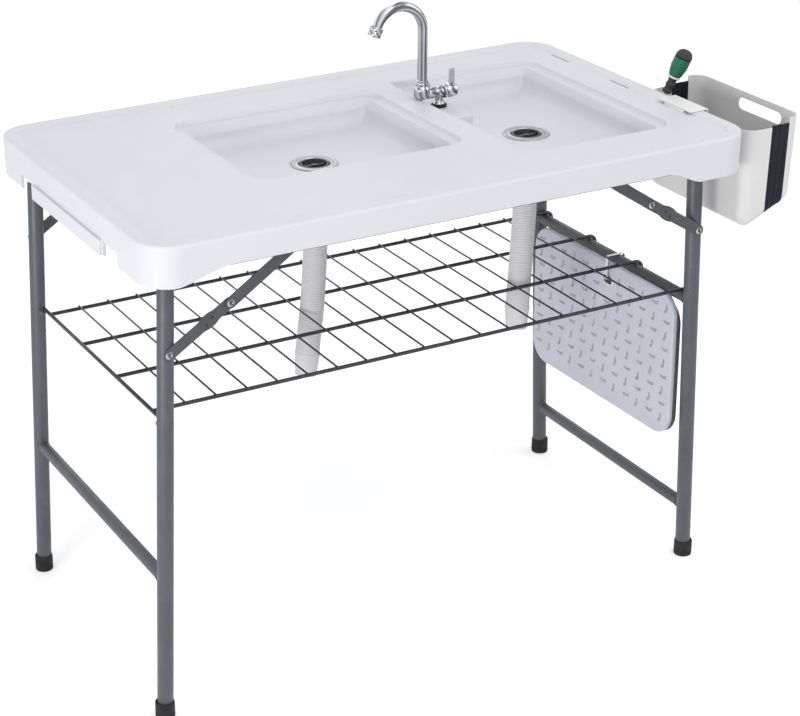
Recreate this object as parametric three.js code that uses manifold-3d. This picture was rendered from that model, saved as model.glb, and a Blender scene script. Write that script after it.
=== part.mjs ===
import * as THREE from 'three';
import { mergeVertices } from 'three/addons/utils/BufferGeometryUtils.js';
import Module from 'manifold-3d';

// Table top
const TOP_LENGTH = 1150;
const TOP_DEPTH = 685;
const TOP_HEIGHT = 875;
const TOP_CORNER = 60;
const RIM_WIDTH = 24;
const RIM_RISE = 4;
const RIM_SLOPE = 4;
const RIM_ROUNDING = 8;
const SKIN = 5;
const APRON_DEPTH = 46;
const POD_DEPTH = 72;
const LEFT_POD_FLAT = 30;
const LEFT_POD_END = 145;
const RIGHT_POD_FLAT = 105;
const RIGHT_POD_END = 180;
const APRON_DRAFT = 0.5;
const NOTCH_INNER = 155;
const NOTCH_OUTER = 212;
const NOTCH_DEPTH = 46;
const NOTCH_REACH = 34;
const SKIRT_PROUD = 5;
const SKIRT_LEDGE_DEPTH = 45;
const SKIRT_HALF = 150;

// Sinks
const LEFT_SINK_MIN_X = -289;
const LEFT_SINK_MAX_X = 126;
const LEFT_SINK_MIN_Y = -129;
const LEFT_SINK_MAX_Y = 222;
const RIGHT_SINK_MIN_X = 176;
const RIGHT_SINK_MAX_X = 488;
const RIGHT_SINK_MIN_Y = -230;
const RIGHT_SINK_MAX_Y = 243;
const SINK_CORNER = 38;
const SINK_DEPTH = 58;
const SINK_FALL = 6;
const SINK_DRAFT = 10;
const SINK_FILLET = 30;
const LEDGE_DROP = 8;
const LEDGE_WIDTH = 15;
const LEDGE_DRAFT = 2;
const POCKET_MIN_Y = 46;
const POCKET_MAX_X = 246;
const POCKET_DEPTH = 19;
const POCKET_CORNER = 12;
const POCKET_INSET = 1.5;
const SLOT_INSET = 32;
const SLOT_WIDTH = 4;
const SLOT_LENGTH = 58;
const SLOT_CENTRES = [210, 16, -154];

// Drains
const LEFT_DRAIN_X = -84;
const LEFT_DRAIN_Y = 48;
const RIGHT_DRAIN_X = 331;
const RIGHT_DRAIN_Y = 2;
const FLANGE_RADIUS = 43;
const FLANGE_RISE = 3;
const FLANGE_LIP = 8;
const DRAIN_BORE_RADIUS = 25;
const DRAIN_NECK_RADIUS = 28;
const DRAIN_NECK_DROP = 20;
const DRAIN_NECK_FLOOR = 2;
const DRAIN_TAIL_LENGTH = 6;
const DRAIN_TAIL_WALL = 2;
const STRAINER_LIP = 2;
const STRAINER_LIP_HEIGHT = 0.8;
const STRAINER_FLOOR = 2;
const STRAINER_SINK = 5;
const STRAINER_BAR_WIDTH = 5;
const STRAINER_BAR_HEIGHT = 3;
const STRAINER_HOLE_RADIUS = 3;
const STRAINER_HOLE_CIRCLE = 15;
const DRAIN_NUT_RADIUS = 34;
const DRAIN_NUT_HEIGHT = 7;

// Drain hoses
const HOSE_RIB_RADIUS = 22.5;
const HOSE_ROOT_RADIUS = 21;
const HOSE_BORE_RADIUS = 17;
const HOSE_CUFF_RADIUS = 23.5;
const HOSE_CUFF_END_RADIUS = 20;
const HOSE_PITCH = 7;
const HOSE_STRAIGHT = 46;
const LEFT_HOSE_PATH = [
  [-84, 48, 745], [-89, 37, 672], [-99, 27, 590], [-104, 24, 548], [-114, 20, 486], [-121, 18, 424],
];
const RIGHT_HOSE_PATH = [
  [331, 2, 745], [324, -11, 685], [305, -34, 605], [294, -46, 548], [290, -48, 500], [289, -48, 456],
];

// Faucet
const FAUCET_Y = 119;
const SHANK_X = 214.5;
const STEM_FLANGE_RADIUS = 11;
const STEM_FLANGE_HEIGHT = 3;
const ELBOW_X = 178;
const BARREL_LIFT = 5;
const BARREL_INSET = 8;
const BARREL_RADIUS = 9.8;
const BARREL_END_X = 222;
const HUB_END_X = 249;
const HUB_RADIUS = 13;
const HUB_SPIGOT_RADIUS = 5;
const HUB_SPIGOT_REACH = 14;
const SHANK_RADIUS = 7;
const SHANK_DROP = 24;
const GASKET_RADIUS = 15;
const GASKET_HEIGHT = 4;
const ELBOW_RADIUS = 15;
const ELBOW_DROP = 8;
const ELBOW_SHOULDER_RISE = 17;
const ELBOW_RISE = 25;
const COLLAR_RADIUS = 11.5;
const SPOUT_RADIUS = 9.2;
const SPOUT_SOCKET = 12;
const SPOUT_RISER = 98;
const SPOUT_BEND_RADIUS = 49;
const SPOUT_END_ANGLE = 155.5;
const SPOUT_TAIL = 10;
const AERATOR_RADIUS = 12.6;
const AERATOR_LENGTH = 19;
const AERATOR_LAP = 8;
const AERATOR_MOUTH = 4;
const LEVER_MIN_X = 235;
const LEVER_MAX_X = 247;
const LEVER_THICKNESS = 4.5;
const LEVER_HEIGHT = 30;
const LEVER_LEAN = 3;
const FAUCET_NUT_RADIUS = 14;
const FAUCET_NUT_HEIGHT = 8;

// Leg frames
const LEG_RADIUS = 14;
const LEG_PIVOT_INSET = 25;
const LEG_PIVOT_DROP = 49;
const LEG_SPLAY = 31.5;
const LEFT_LEG_INSET = 27;
const RIGHT_LEG_INSET = 63;
const LEG_CROWN = 17;
const PIVOT_TUBE_RADIUS = 10;
const CROSSBAR_RADIUS = 11;
const LEFT_CROSSBAR_HEIGHT = 265;
const RIGHT_CROSSBAR_HEIGHT = 107;
const CROSSBAR_SINK = 6;
const FOOT_RADIUS = 17;
const FOOT_HEIGHT = 31;
const FOOT_SOLE = 7;
const FOOT_BEVEL = 2;
const PEG_RADIUS = 5;
const PEG_REACH = 15;

// Rails under the top
const RAIL_INSET = 32.5;
const RAIL_THICKNESS = 3;
const RAIL_END_GAP = 27;
const RAIL_HEIGHT = 52;
const RAIL_FLANGE = 18;
const RAIL_FLANGE_INSET = 28;

// Folding stays, with their ends measured on the left frame
const STAY_LEG_DROP = 151;
const STAY_KNEE_INSET = 103;
const STAY_KNEE_HEIGHT = 744;
const STAY_RAIL_INSET = 226;
const STAY_THICKNESS = 2;
const STAY_HALF_WIDTH = 10;
const STAY_KNEE_HALF_WIDTH = 13;
const RIVET_RADIUS = 6.5;
const RIVET_HEAD = 1.8;
const RIVET_PIN_RADIUS = 4;

// Wire shelf
const SHELF_HEIGHT = 548;
const LONG_WIRE_RADIUS = 3.5;
const CROSS_WIRE_RADIUS = 1.75;
const WIRE_WELD = 0.6;
const LONG_WIRE_YS = [227, 76, -76, -227];
const CROSS_WIRE_COUNT = 18;
const CROSS_WIRE_PITCH = 56.9;
const CROSS_WIRE_OVERHANG = 4;
const SHELF_LEFT_REACH = 8;
const SHELF_END_Y = 262;
const HOOK_STEPS = 4;
const HOOK_TAIL = 8;

// Cutting boards
const BOARD_DROP = 15;
const BOARD_HEIGHT = 289;
const BOARD_SIDE_GAP = 5;
const BOARD_TILT = 0.8;
const BOARD_THICKNESS = 11;
const REAR_BOARD_THICKNESS = 8;
const REAR_BOARD_DROP = 16;
const BOARD_CORNER = 46;
const BOARD_HOLE_Y = -22;
const BOARD_HOLE_HALF_WIDTH = 15;
const BOARD_HOLE_HALF_HEIGHT = 9;
const BOARD_HOLE_DROP = 36;
const STRAP_WIDTH = 7;
const STRAP_THICKNESS = 1.6;
const STRAP_CORNER = 3;

// Bin
const BIN_STANDOFF = 5;
const BIN_REACH = 120;
const BIN_MIN_Y = -315;
const BIN_MAX_Y = -22;
const BIN_BOTTOM = 680;
const BIN_FLAT_FLOOR = 28;
const BIN_FLOOR_RISE = 42;
const BIN_INNER_TOP = 865;
const BIN_OUTER_TOP = 878;
const BIN_BAND_START = 54;
const BIN_BAND_END = 92;
const BIN_BAND_TOP = 868;
const BIN_WALL = 2.4;
const BIN_BAND_INSET = 0.6;
const BIN_CORNER = 26;
const BIN_TAPER = 5;
const BIN_ROUNDING = 22;
const HANDLE_MIN_Y = -262;
const HANDLE_MAX_Y = -142;
const HANDLE_MIN_HEIGHT = 844;
const HANDLE_MAX_HEIGHT = 866;
const HOOK_MIN_Y = -202;
const HOOK_MAX_Y = -106;
const HOOK_THICKNESS = 2.4;
const HOOK_LIP = 11;
const HOOK_FLAP = 20;

// Tool in the bin
const TOOL_RIM_REACH = 18.4;
const TOOL_RIM_INSET = 33;
const TOOL_RIM_RISE = 1;
const TOOL_LEAN_X = 0.33;
const TOOL_LEAN_Y = -0.24;
const TOOL_BLADE_LENGTH = 30;
const TOOL_BLADE_WIDTH = 10;
const TOOL_BLADE_THICKNESS = 2;
const TOOL_NECK_LENGTH = 30;
const TOOL_NECK_RADIUS = 9;
const TOOL_GRIP_LENGTH = 37;
const TOOL_GRIP_RADIUS = 16;
const TOOL_CAP_LENGTH = 15;
const TOOL_RING_RADIUS = 11.5;
const TOOL_RING_LENGTH = 4;

// Clearances, overruns and counts
const GAP = 0.3;
const OVERRUN = 20;
const MERGE_GAP = 0.0005;
const CORNER_STEPS = 5;
const ROUND_STEPS = 3;
const TUBE_SIDES = 16;
const SMALL_SIDES = 12;
const WIRE_SIDES = 6;
const CROSS_WIRE_SIDES = 4;
const CURVE_STEPS = 16;
const S_CURVE_STEPS = 8;
const HOSE_SIDES = 8;
const RIBS_PER_BORE_RING = 5;
const NEAR_FULL_SHARE = 0.97;
const RING_PLAY_SHARE = 0.02;
const ELBOW_WAIST_SHARE = 0.8;
const GRIP_WAIST_SHARE = 0.78;
const CAP_END_SHARE = 0.45;
const LOCK_SHARE = 0.35;

const QUARTER_TURN = Math.PI / 2;
const DEGREE = Math.PI / 180;
const DECK = TOP_HEIGHT - RIM_RISE;
const HALF_LENGTH = TOP_LENGTH / 2;
const HALF_DEPTH = TOP_DEPTH / 2;
const APRON_BOTTOM = TOP_HEIGHT - APRON_DEPTH;
const LEG_PIVOT_HEIGHT = TOP_HEIGHT - LEG_PIVOT_DROP;
const POD_BOTTOM = TOP_HEIGHT - POD_DEPTH;
const DRAIN_FLOOR = DECK - SINK_DEPTH;
const POCKET_FLOOR = DECK - POCKET_DEPTH;
const BARREL_HEIGHT = TOP_HEIGHT + BARREL_LIFT;
const ELBOW_TOP = BARREL_HEIGHT + ELBOW_RISE;
const SPOUT_BEND_HEIGHT = ELBOW_TOP + SPOUT_RISER;
const RAIL_Y = HALF_DEPTH - RAIL_INSET;
const RAIL_LENGTH = TOP_LENGTH - 2 * RAIL_END_GAP;
const RAIL_FLANGE_LENGTH = RAIL_LENGTH - 2 * RAIL_FLANGE_INSET;
const LEFT_LEG_Y = RAIL_Y - LEFT_LEG_INSET;
const RIGHT_LEG_Y = RAIL_Y - RIGHT_LEG_INSET;
const LEG_PIVOT_X = RAIL_LENGTH / 2 - LEG_PIVOT_INSET;
const LEG_TILT = Math.atan(LEG_SPLAY / LEG_PIVOT_HEIGHT);
const STAY_KNEE_X = LEG_PIVOT_X - STAY_KNEE_INSET;
const STAY_RAIL_X = LEG_PIVOT_X - STAY_RAIL_INSET;
const SHELF_LEFT_X = -LEG_PIVOT_X - SHELF_LEFT_REACH;
const SLOT_X = HALF_LENGTH - SLOT_INSET;
const BIN_MIN_X = HALF_LENGTH + BIN_STANDOFF;
const BIN_MAX_X = BIN_MIN_X + BIN_REACH;
const BIN_BAND_MIN_X = BIN_MIN_X + BIN_BAND_START;
const BIN_BAND_MAX_X = BIN_MIN_X + BIN_BAND_END;
const SHELF_BAR_HEIGHT = SHELF_HEIGHT - LONG_WIRE_RADIUS - GAP - CROSSBAR_RADIUS;

const wasm = await Module();
wasm.setup();

const table = new THREE.Group();
table.name = 'fish_cleaning_table';

const FINISHES = {
  plastic: { color: 0xeef0f3, roughness: 0.42, metalness: 0 },
  clip: { color: 0xf4f4f2, roughness: 0.5, metalness: 0 },
  paint: { color: 0x73777c, roughness: 0.45, metalness: 0.3 },
  stay: { color: 0x6b6f74, roughness: 0.4, metalness: 0.5 },
  wire: { color: 0x54575b, roughness: 0.4, metalness: 0.6 },
  chrome: { color: 0xc8cbce, roughness: 0.1, metalness: 1 },
  strainer: { color: 0x202224, roughness: 0.4, metalness: 0.3 },
  rubber: { color: 0x17181a, roughness: 0.8, metalness: 0 },
  nut: { color: 0xdadcdd, roughness: 0.5, metalness: 0 },
  hose: { color: 0xeceded, roughness: 0.55, metalness: 0 },
  board: { color: 0xdfe2ea, roughness: 0.5, metalness: 0 },
  darkBoard: { color: 0x4a4e55, roughness: 0.7, metalness: 0 },
  strap: { color: 0xb4b7ba, roughness: 0.35, metalness: 0.8 },
  binShell: { color: 0xe9e8e5, roughness: 0.5, metalness: 0 },
  binBand: { color: 0x23283a, roughness: 0.7, metalness: 0 },
  grip: { color: 0x0b7a4d, roughness: 0.6, metalness: 0 },
  gripBlack: { color: 0x131416, roughness: 0.6, metalness: 0 },
  blade: { color: 0xbfc2c4, roughness: 0.3, metalness: 1 },
};

function vector(x, y, z) {
  return new THREE.Vector3(x, y, z);
}

function addPiece(name, geometry, finish) {
  const mesh = new THREE.Mesh(geometry, new THREE.MeshStandardMaterial(FINISHES[finish]));
  mesh.name = name;
  mesh.material.name = finish;
  table.add(mesh);
}

function solidOf(geometry) {
  geometry.deleteAttribute('normal');
  geometry.deleteAttribute('uv');
  const merged = mergeVertices(geometry, MERGE_GAP);
  const mesh = new wasm.Mesh({
    numProp: 3,
    vertProperties: new Float32Array(merged.attributes.position.array),
    triVerts: new Uint32Array(merged.index.array),
  });
  return new wasm.Manifold(mesh);
}

function geometryOf(solid) {
  const mesh = solid.getMesh();
  const geometry = new THREE.BufferGeometry();
  geometry.setAttribute('position', new THREE.BufferAttribute(new Float32Array(mesh.vertProperties), 3));
  geometry.setIndex(new THREE.BufferAttribute(new Uint32Array(mesh.triVerts), 1));
  return geometry.toNonIndexed();
}

function joined(parts) {
  return parts.map(solidOf).reduce((whole, part) => whole.add(part));
}

function carved(whole, cuts) {
  return cuts.reduce((rest, cut) => rest.subtract(solidOf(cut)), whole);
}

function blockBetween(low, high) {
  const size = high.clone().sub(low);
  const block = new THREE.BoxGeometry(size.x, size.y, size.z);
  const centre = low.clone().add(high).multiplyScalar(1 / 2);
  return block.translate(centre.x, centre.y, centre.z);
}

function rodBetween(start, end, radius, sides, roll = 0) {
  const along = end.clone().sub(start);
  const rod = new THREE.CylinderGeometry(radius, radius, along.length(), sides).rotateY(roll);
  const turn = new THREE.Quaternion().setFromUnitVectors(vector(0, 1, 0), along.clone().normalize());
  const centre = start.clone().add(end).multiplyScalar(1 / 2);
  return rod.applyQuaternion(turn).translate(centre.x, centre.y, centre.z);
}

// A solid turned about an upright axis from pairs of radius and height
function turned(x, y, profile, sides = TUBE_SIDES) {
  const points = profile.map(([radius, height]) => new THREE.Vector2(radius, height));
  return new THREE.LatheGeometry(points, sides).rotateX(QUARTER_TURN).translate(x, y, 0);
}

// A ring as a profile that closes on itself
function ringProfile(inner, outer, low, high) {
  return [[inner, low], [outer, low], [outer, high], [inner, high], [inner, low]];
}

function roundedRing(minX, maxX, minY, maxY, corner, height, steps = CORNER_STEPS) {
  const centres = [
    [maxX - corner, maxY - corner],
    [minX + corner, maxY - corner],
    [minX + corner, minY + corner],
    [maxX - corner, minY + corner],
  ];
  const points = [];
  centres.forEach(([x, y], quarter) => {
    for (let step = 0; step <= steps; step += 1) {
      const angle = (quarter + step / steps) * QUARTER_TURN;
      points.push(vector(x + corner * Math.cos(angle), y + corner * Math.sin(angle), height));
    }
  });
  return points;
}

function insetRing(box, inset, height) {
  const corner = Math.max(box.corner - inset, box.corner * RING_PLAY_SHARE);
  return roundedRing(
    box.minX + inset, box.maxX - inset, box.minY + inset, box.maxY - inset, corner, height,
  );
}

function circleRing(x, y, radius, height) {
  return roundedRing(x - radius, x + radius, y - radius, y + radius, radius * NEAR_FULL_SHARE, height);
}

// A closed skin over rings of equal count, from the lowest to the highest
function loft(rings) {
  const count = rings[0].length;
  const positions = [];
  const addTriangle = (a, b, c) => positions.push(...a.toArray(), ...b.toArray(), ...c.toArray());
  const middle = (ring) => ring.reduce((sum, point) => sum.add(point), vector(0, 0, 0)).divideScalar(count);
  for (let level = 0; level + 1 < rings.length; level += 1) {
    for (let i = 0; i < count; i += 1) {
      const next = (i + 1) % count;
      addTriangle(rings[level][i], rings[level][next], rings[level + 1][next]);
      addTriangle(rings[level][i], rings[level + 1][next], rings[level + 1][i]);
    }
  }
  const bottom = rings[0];
  const top = rings[rings.length - 1];
  const bottomMiddle = middle(bottom);
  const topMiddle = middle(top);
  for (let i = 0; i < count; i += 1) {
    const next = (i + 1) % count;
    addTriangle(bottomMiddle, bottom[next], bottom[i]);
    addTriangle(topMiddle, top[i], top[next]);
  }
  const geometry = new THREE.BufferGeometry();
  geometry.setAttribute('position', new THREE.Float32BufferAttribute(positions, 3));
  return mergeVertices(geometry, MERGE_GAP);
}

// A bent rod whose middle line stays in one plane of constant Y
function bentRod(points, radius, sides, roll = 0) {
  const across = vector(0, 1, 0);
  const rings = points.map((point, index) => {
    const before = points[Math.max(index - 1, 0)];
    const after = points[Math.min(index + 1, points.length - 1)];
    const arriving = point.clone().sub(before).normalize();
    const leaving = after.clone().sub(point).normalize();
    const along = arriving.clone().add(leaving).normalize();
    const halfTurn = Math.acos(Math.min(1, Math.max(arriving.dot(along), leaving.dot(along))));
    const inPlane = across.clone().cross(along);
    const ring = [];
    for (let side = 0; side < sides; side += 1) {
      const angle = roll + (side / sides) * 2 * Math.PI;
      ring.push(point.clone()
        .addScaledVector(inPlane, (radius * Math.cos(angle)) / Math.cos(halfTurn))
        .addScaledVector(across, radius * Math.sin(angle)));
    }
    return ring;
  });
  return loft(rings);
}

function extruded(outline, thickness) {
  const shape = new THREE.Shape(outline.map(([u, v]) => new THREE.Vector2(u, v)));
  return new THREE.ExtrudeGeometry(shape, { depth: thickness, bevelEnabled: false });
}

// A plate whose outline is given in X and Z
function plateAlongY(outline, startY, thickness) {
  return extruded(outline, thickness).rotateX(QUARTER_TURN).translate(0, startY + thickness, 0);
}

// A plate whose outline is given in Y and Z
function plateAlongX(outline, startX, thickness) {
  const turn = new THREE.Matrix4().makeBasis(vector(0, 1, 0), vector(0, 0, 1), vector(1, 0, 0));
  return extruded(outline, thickness).applyMatrix4(turn).translate(startX, 0, 0);
}

function roundedOutline(minU, maxU, minV, maxV, corner, steps = CORNER_STEPS) {
  return roundedRing(minU, maxU, minV, maxV, corner, 0, steps).map((point) => [point.x, point.y]);
}

function tubeAlong(points, radius, sides, steps) {
  const outline = [];
  for (let side = 0; side < sides; side += 1) {
    const angle = (side / sides) * 2 * Math.PI;
    outline.push(new THREE.Vector2(radius * Math.cos(angle), radius * Math.sin(angle)));
  }
  const path = new THREE.CatmullRomCurve3(points, false, 'centripetal');
  const shape = new THREE.Shape(outline);
  return new THREE.ExtrudeGeometry(shape, { steps, extrudePath: path, bevelEnabled: false });
}

// Table top: one moulded skin with a rim, an apron, corner pods and two sinks
const TOP_BOX = {
  minX: -HALF_LENGTH, maxX: HALF_LENGTH, minY: -HALF_DEPTH, maxY: HALF_DEPTH, corner: TOP_CORNER,
};
const LEFT_SINK = {
  minX: LEFT_SINK_MIN_X, maxX: LEFT_SINK_MAX_X, minY: LEFT_SINK_MIN_Y, maxY: LEFT_SINK_MAX_Y,
  corner: SINK_CORNER, drainX: LEFT_DRAIN_X, drainY: LEFT_DRAIN_Y,
};
const RIGHT_SINK = {
  minX: RIGHT_SINK_MIN_X, maxX: RIGHT_SINK_MAX_X, minY: RIGHT_SINK_MIN_Y, maxY: RIGHT_SINK_MAX_Y,
  corner: SINK_CORNER, drainX: RIGHT_DRAIN_X, drainY: RIGHT_DRAIN_Y,
};

function sinkLoft(sink, grow, crown) {
  const wallInset = LEDGE_WIDTH + LEDGE_DRAFT;
  const footInset = wallInset + SINK_DRAFT;
  const floorHeight = DRAIN_FLOOR + SINK_FALL - grow;
  const rings = [
    circleRing(sink.drainX, sink.drainY, FLANGE_RADIUS + FLANGE_LIP + grow, DRAIN_FLOOR - grow),
  ];
  for (let step = 0; step <= ROUND_STEPS; step += 1) {
    const angle = (step / ROUND_STEPS) * QUARTER_TURN;
    const inset = footInset + SINK_FILLET * (1 - Math.sin(angle)) - grow;
    rings.push(insetRing(sink, inset, floorHeight + SINK_FILLET * (1 - Math.cos(angle))));
  }
  rings.push(insetRing(sink, wallInset - grow, DECK - LEDGE_DROP - grow));
  rings.push(insetRing(sink, LEDGE_DRAFT - grow, DECK - LEDGE_DROP - grow / 2));
  rings.push(insetRing(sink, -grow, DECK - grow / 2));
  rings.push(insetRing(sink, -grow, crown));
  return loft(rings);
}

function buildTop() {
  const outer = [
    insetRing(TOP_BOX, APRON_DRAFT, POD_BOTTOM), insetRing(TOP_BOX, 0, TOP_HEIGHT - RIM_ROUNDING),
  ];
  for (let step = 1; step <= ROUND_STEPS; step += 1) {
    const angle = (step / ROUND_STEPS) * QUARTER_TURN;
    const inset = RIM_ROUNDING * (1 - Math.cos(angle));
    outer.push(insetRing(TOP_BOX, inset, TOP_HEIGHT - RIM_ROUNDING * (1 - Math.sin(angle))));
  }
  const hollow = loft([
    insetRing(TOP_BOX, APRON_DRAFT + SKIN, POD_BOTTOM - OVERRUN),
    insetRing(TOP_BOX, SKIN + APRON_DRAFT, DECK - SKIN),
  ]);
  const dish = loft([
    insetRing(TOP_BOX, RIM_WIDTH + RIM_SLOPE, DECK),
    insetRing(TOP_BOX, RIM_WIDTH, TOP_HEIGHT),
    insetRing(TOP_BOX, RIM_WIDTH, TOP_HEIGHT + OVERRUN),
  ]);
  const skirtLedge = blockBetween(
    vector(-HALF_LENGTH - SKIRT_PROUD, -SKIRT_HALF, POD_BOTTOM),
    vector(-HALF_LENGTH + SKIN, SKIRT_HALF, TOP_HEIGHT - SKIRT_LEDGE_DEPTH),
  );
  const pocketShell = blockBetween(
    vector(RIGHT_SINK.minX - SKIN, POCKET_MIN_Y - SKIN, POCKET_FLOOR - SKIN),
    vector(POCKET_MAX_X, RIGHT_SINK.maxY + SKIN, DECK - SKIN / 2),
  );
  const shell = carved(solidOf(loft(outer)), [hollow, dish, apronCut()])
    .add(solidOf(sinkLoft(LEFT_SINK, SKIN, DECK - SKIN / 2)))
    .add(solidOf(sinkLoft(RIGHT_SINK, SKIN, DECK - SKIN / 2)))
    .add(solidOf(pocketShell))
    .add(solidOf(skirtLedge));
  const step = solidOf(blockBetween(
    vector(RIGHT_SINK.minX - OVERRUN, POCKET_MIN_Y, POD_BOTTOM - OVERRUN),
    vector(POCKET_MAX_X, RIGHT_SINK.maxY + OVERRUN, POCKET_FLOOR),
  ));
  const pocketBox = {
    minX: RIGHT_SINK.minX + POCKET_INSET, maxX: POCKET_MAX_X + POCKET_CORNER,
    minY: POCKET_MIN_Y + POCKET_INSET, maxY: RIGHT_SINK.maxY - POCKET_INSET, corner: POCKET_CORNER,
  };
  const pocket = loft([
    insetRing(pocketBox, 0, POCKET_FLOOR),
    insetRing(pocketBox, 0, TOP_HEIGHT + OVERRUN),
  ]);
  const underStep = blockBetween(
    vector(RIGHT_SINK.minX - SKIN, POCKET_MIN_Y + SKIN, POD_BOTTOM - OVERRUN),
    vector(POCKET_MAX_X - SKIN, RIGHT_SINK.maxY + SKIN, POCKET_FLOOR - SKIN),
  );
  const drainHoles = [LEFT_SINK, RIGHT_SINK].map((sink) => rodBetween(
    vector(sink.drainX, sink.drainY, DRAIN_FLOOR - OVERRUN),
    vector(sink.drainX, sink.drainY, DRAIN_FLOOR + OVERRUN),
    DRAIN_NECK_RADIUS + GAP, TUBE_SIDES * 2,
  ));
  const shankHole = rodBetween(
    vector(SHANK_X, FAUCET_Y, POCKET_FLOOR - OVERRUN),
    vector(SHANK_X, FAUCET_Y, POCKET_FLOOR + OVERRUN), SHANK_RADIUS + GAP, TUBE_SIDES,
  );
  const slots = SLOT_CENTRES.map((y) => blockBetween(
    vector(SLOT_X - SLOT_WIDTH / 2, y - SLOT_LENGTH / 2, DECK - OVERRUN),
    vector(SLOT_X + SLOT_WIDTH / 2, y + SLOT_LENGTH / 2, TOP_HEIGHT + OVERRUN),
  ));
  const notches = [];
  [-1, 1].forEach((end) => [-1, 1].forEach((side) => {
    const xs = [end * (HALF_LENGTH + OVERRUN), end * (HALF_LENGTH - NOTCH_REACH)].sort((a, b) => a - b);
    const ys = [side * NOTCH_INNER, side * NOTCH_OUTER].sort((a, b) => a - b);
    notches.push(blockBetween(
      vector(xs[0], ys[0], POD_BOTTOM - OVERRUN), vector(xs[1], ys[1], TOP_HEIGHT - NOTCH_DEPTH),
    ));
  }));
  const carvedShell = carved(shell, [pocket, underStep, shankHole, ...drainHoles, ...slots, ...notches]);
  const sinks = solidOf(sinkLoft(LEFT_SINK, 0, TOP_HEIGHT + OVERRUN))
    .add(solidOf(sinkLoft(RIGHT_SINK, 0, TOP_HEIGHT + OVERRUN)).subtract(step));
  addPiece('tabletop', geometryOf(carvedShell.subtract(sinks)), 'plastic');
}

// The space under the front and back aprons, between the corner pods
function apronCut() {
  const curve = (flat, end) => Array.from({ length: S_CURVE_STEPS + 1 }, (_, step) => {
    const share = step / S_CURVE_STEPS;
    const smooth = share * share * (3 - 2 * share);
    return [flat + (end - flat) * share, POD_BOTTOM + (APRON_BOTTOM - POD_BOTTOM) * smooth];
  });
  const left = curve(-HALF_LENGTH + LEFT_POD_FLAT, -HALF_LENGTH + LEFT_POD_END);
  const right = curve(HALF_LENGTH - RIGHT_POD_FLAT, HALF_LENGTH - RIGHT_POD_END);
  const outline = [
    [left[0][0], POD_BOTTOM - OVERRUN], [right[0][0], POD_BOTTOM - OVERRUN], ...right, ...left.reverse(),
  ];
  return plateAlongY(outline, -HALF_DEPTH - OVERRUN, TOP_DEPTH + 2 * OVERRUN);
}

// White clips in the notches of the left end
function buildClips() {
  [['front', -1], ['back', 1]].forEach(([label, side]) => {
    const outerY = side * (NOTCH_OUTER - GAP);
    const innerY = side * (SKIRT_HALF + GAP + SKIRT_PROUD);
    const ys = [outerY, innerY].sort((a, b) => a - b);
    const high = TOP_HEIGHT - NOTCH_DEPTH - GAP;
    const clip = solidOf(blockBetween(
      vector(-HALF_LENGTH + SKIN, ys[0], high - SKIRT_PROUD * 2),
      vector(-HALF_LENGTH + SKIN * 2, ys[1], high),
    ));
    const middleY = (ys[0] + ys[1]) / 2;
    const window = blockBetween(
      vector(-HALF_LENGTH - OVERRUN, middleY - SKIRT_PROUD * 2, high - SKIN - SKIRT_PROUD / 2),
      vector(-HALF_LENGTH + OVERRUN, middleY + SKIRT_PROUD * 2, high - SKIRT_PROUD / 2),
    );
    addPiece(`side_clip_${label}`, geometryOf(carved(clip, [window])), 'clip');
  });
}

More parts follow.
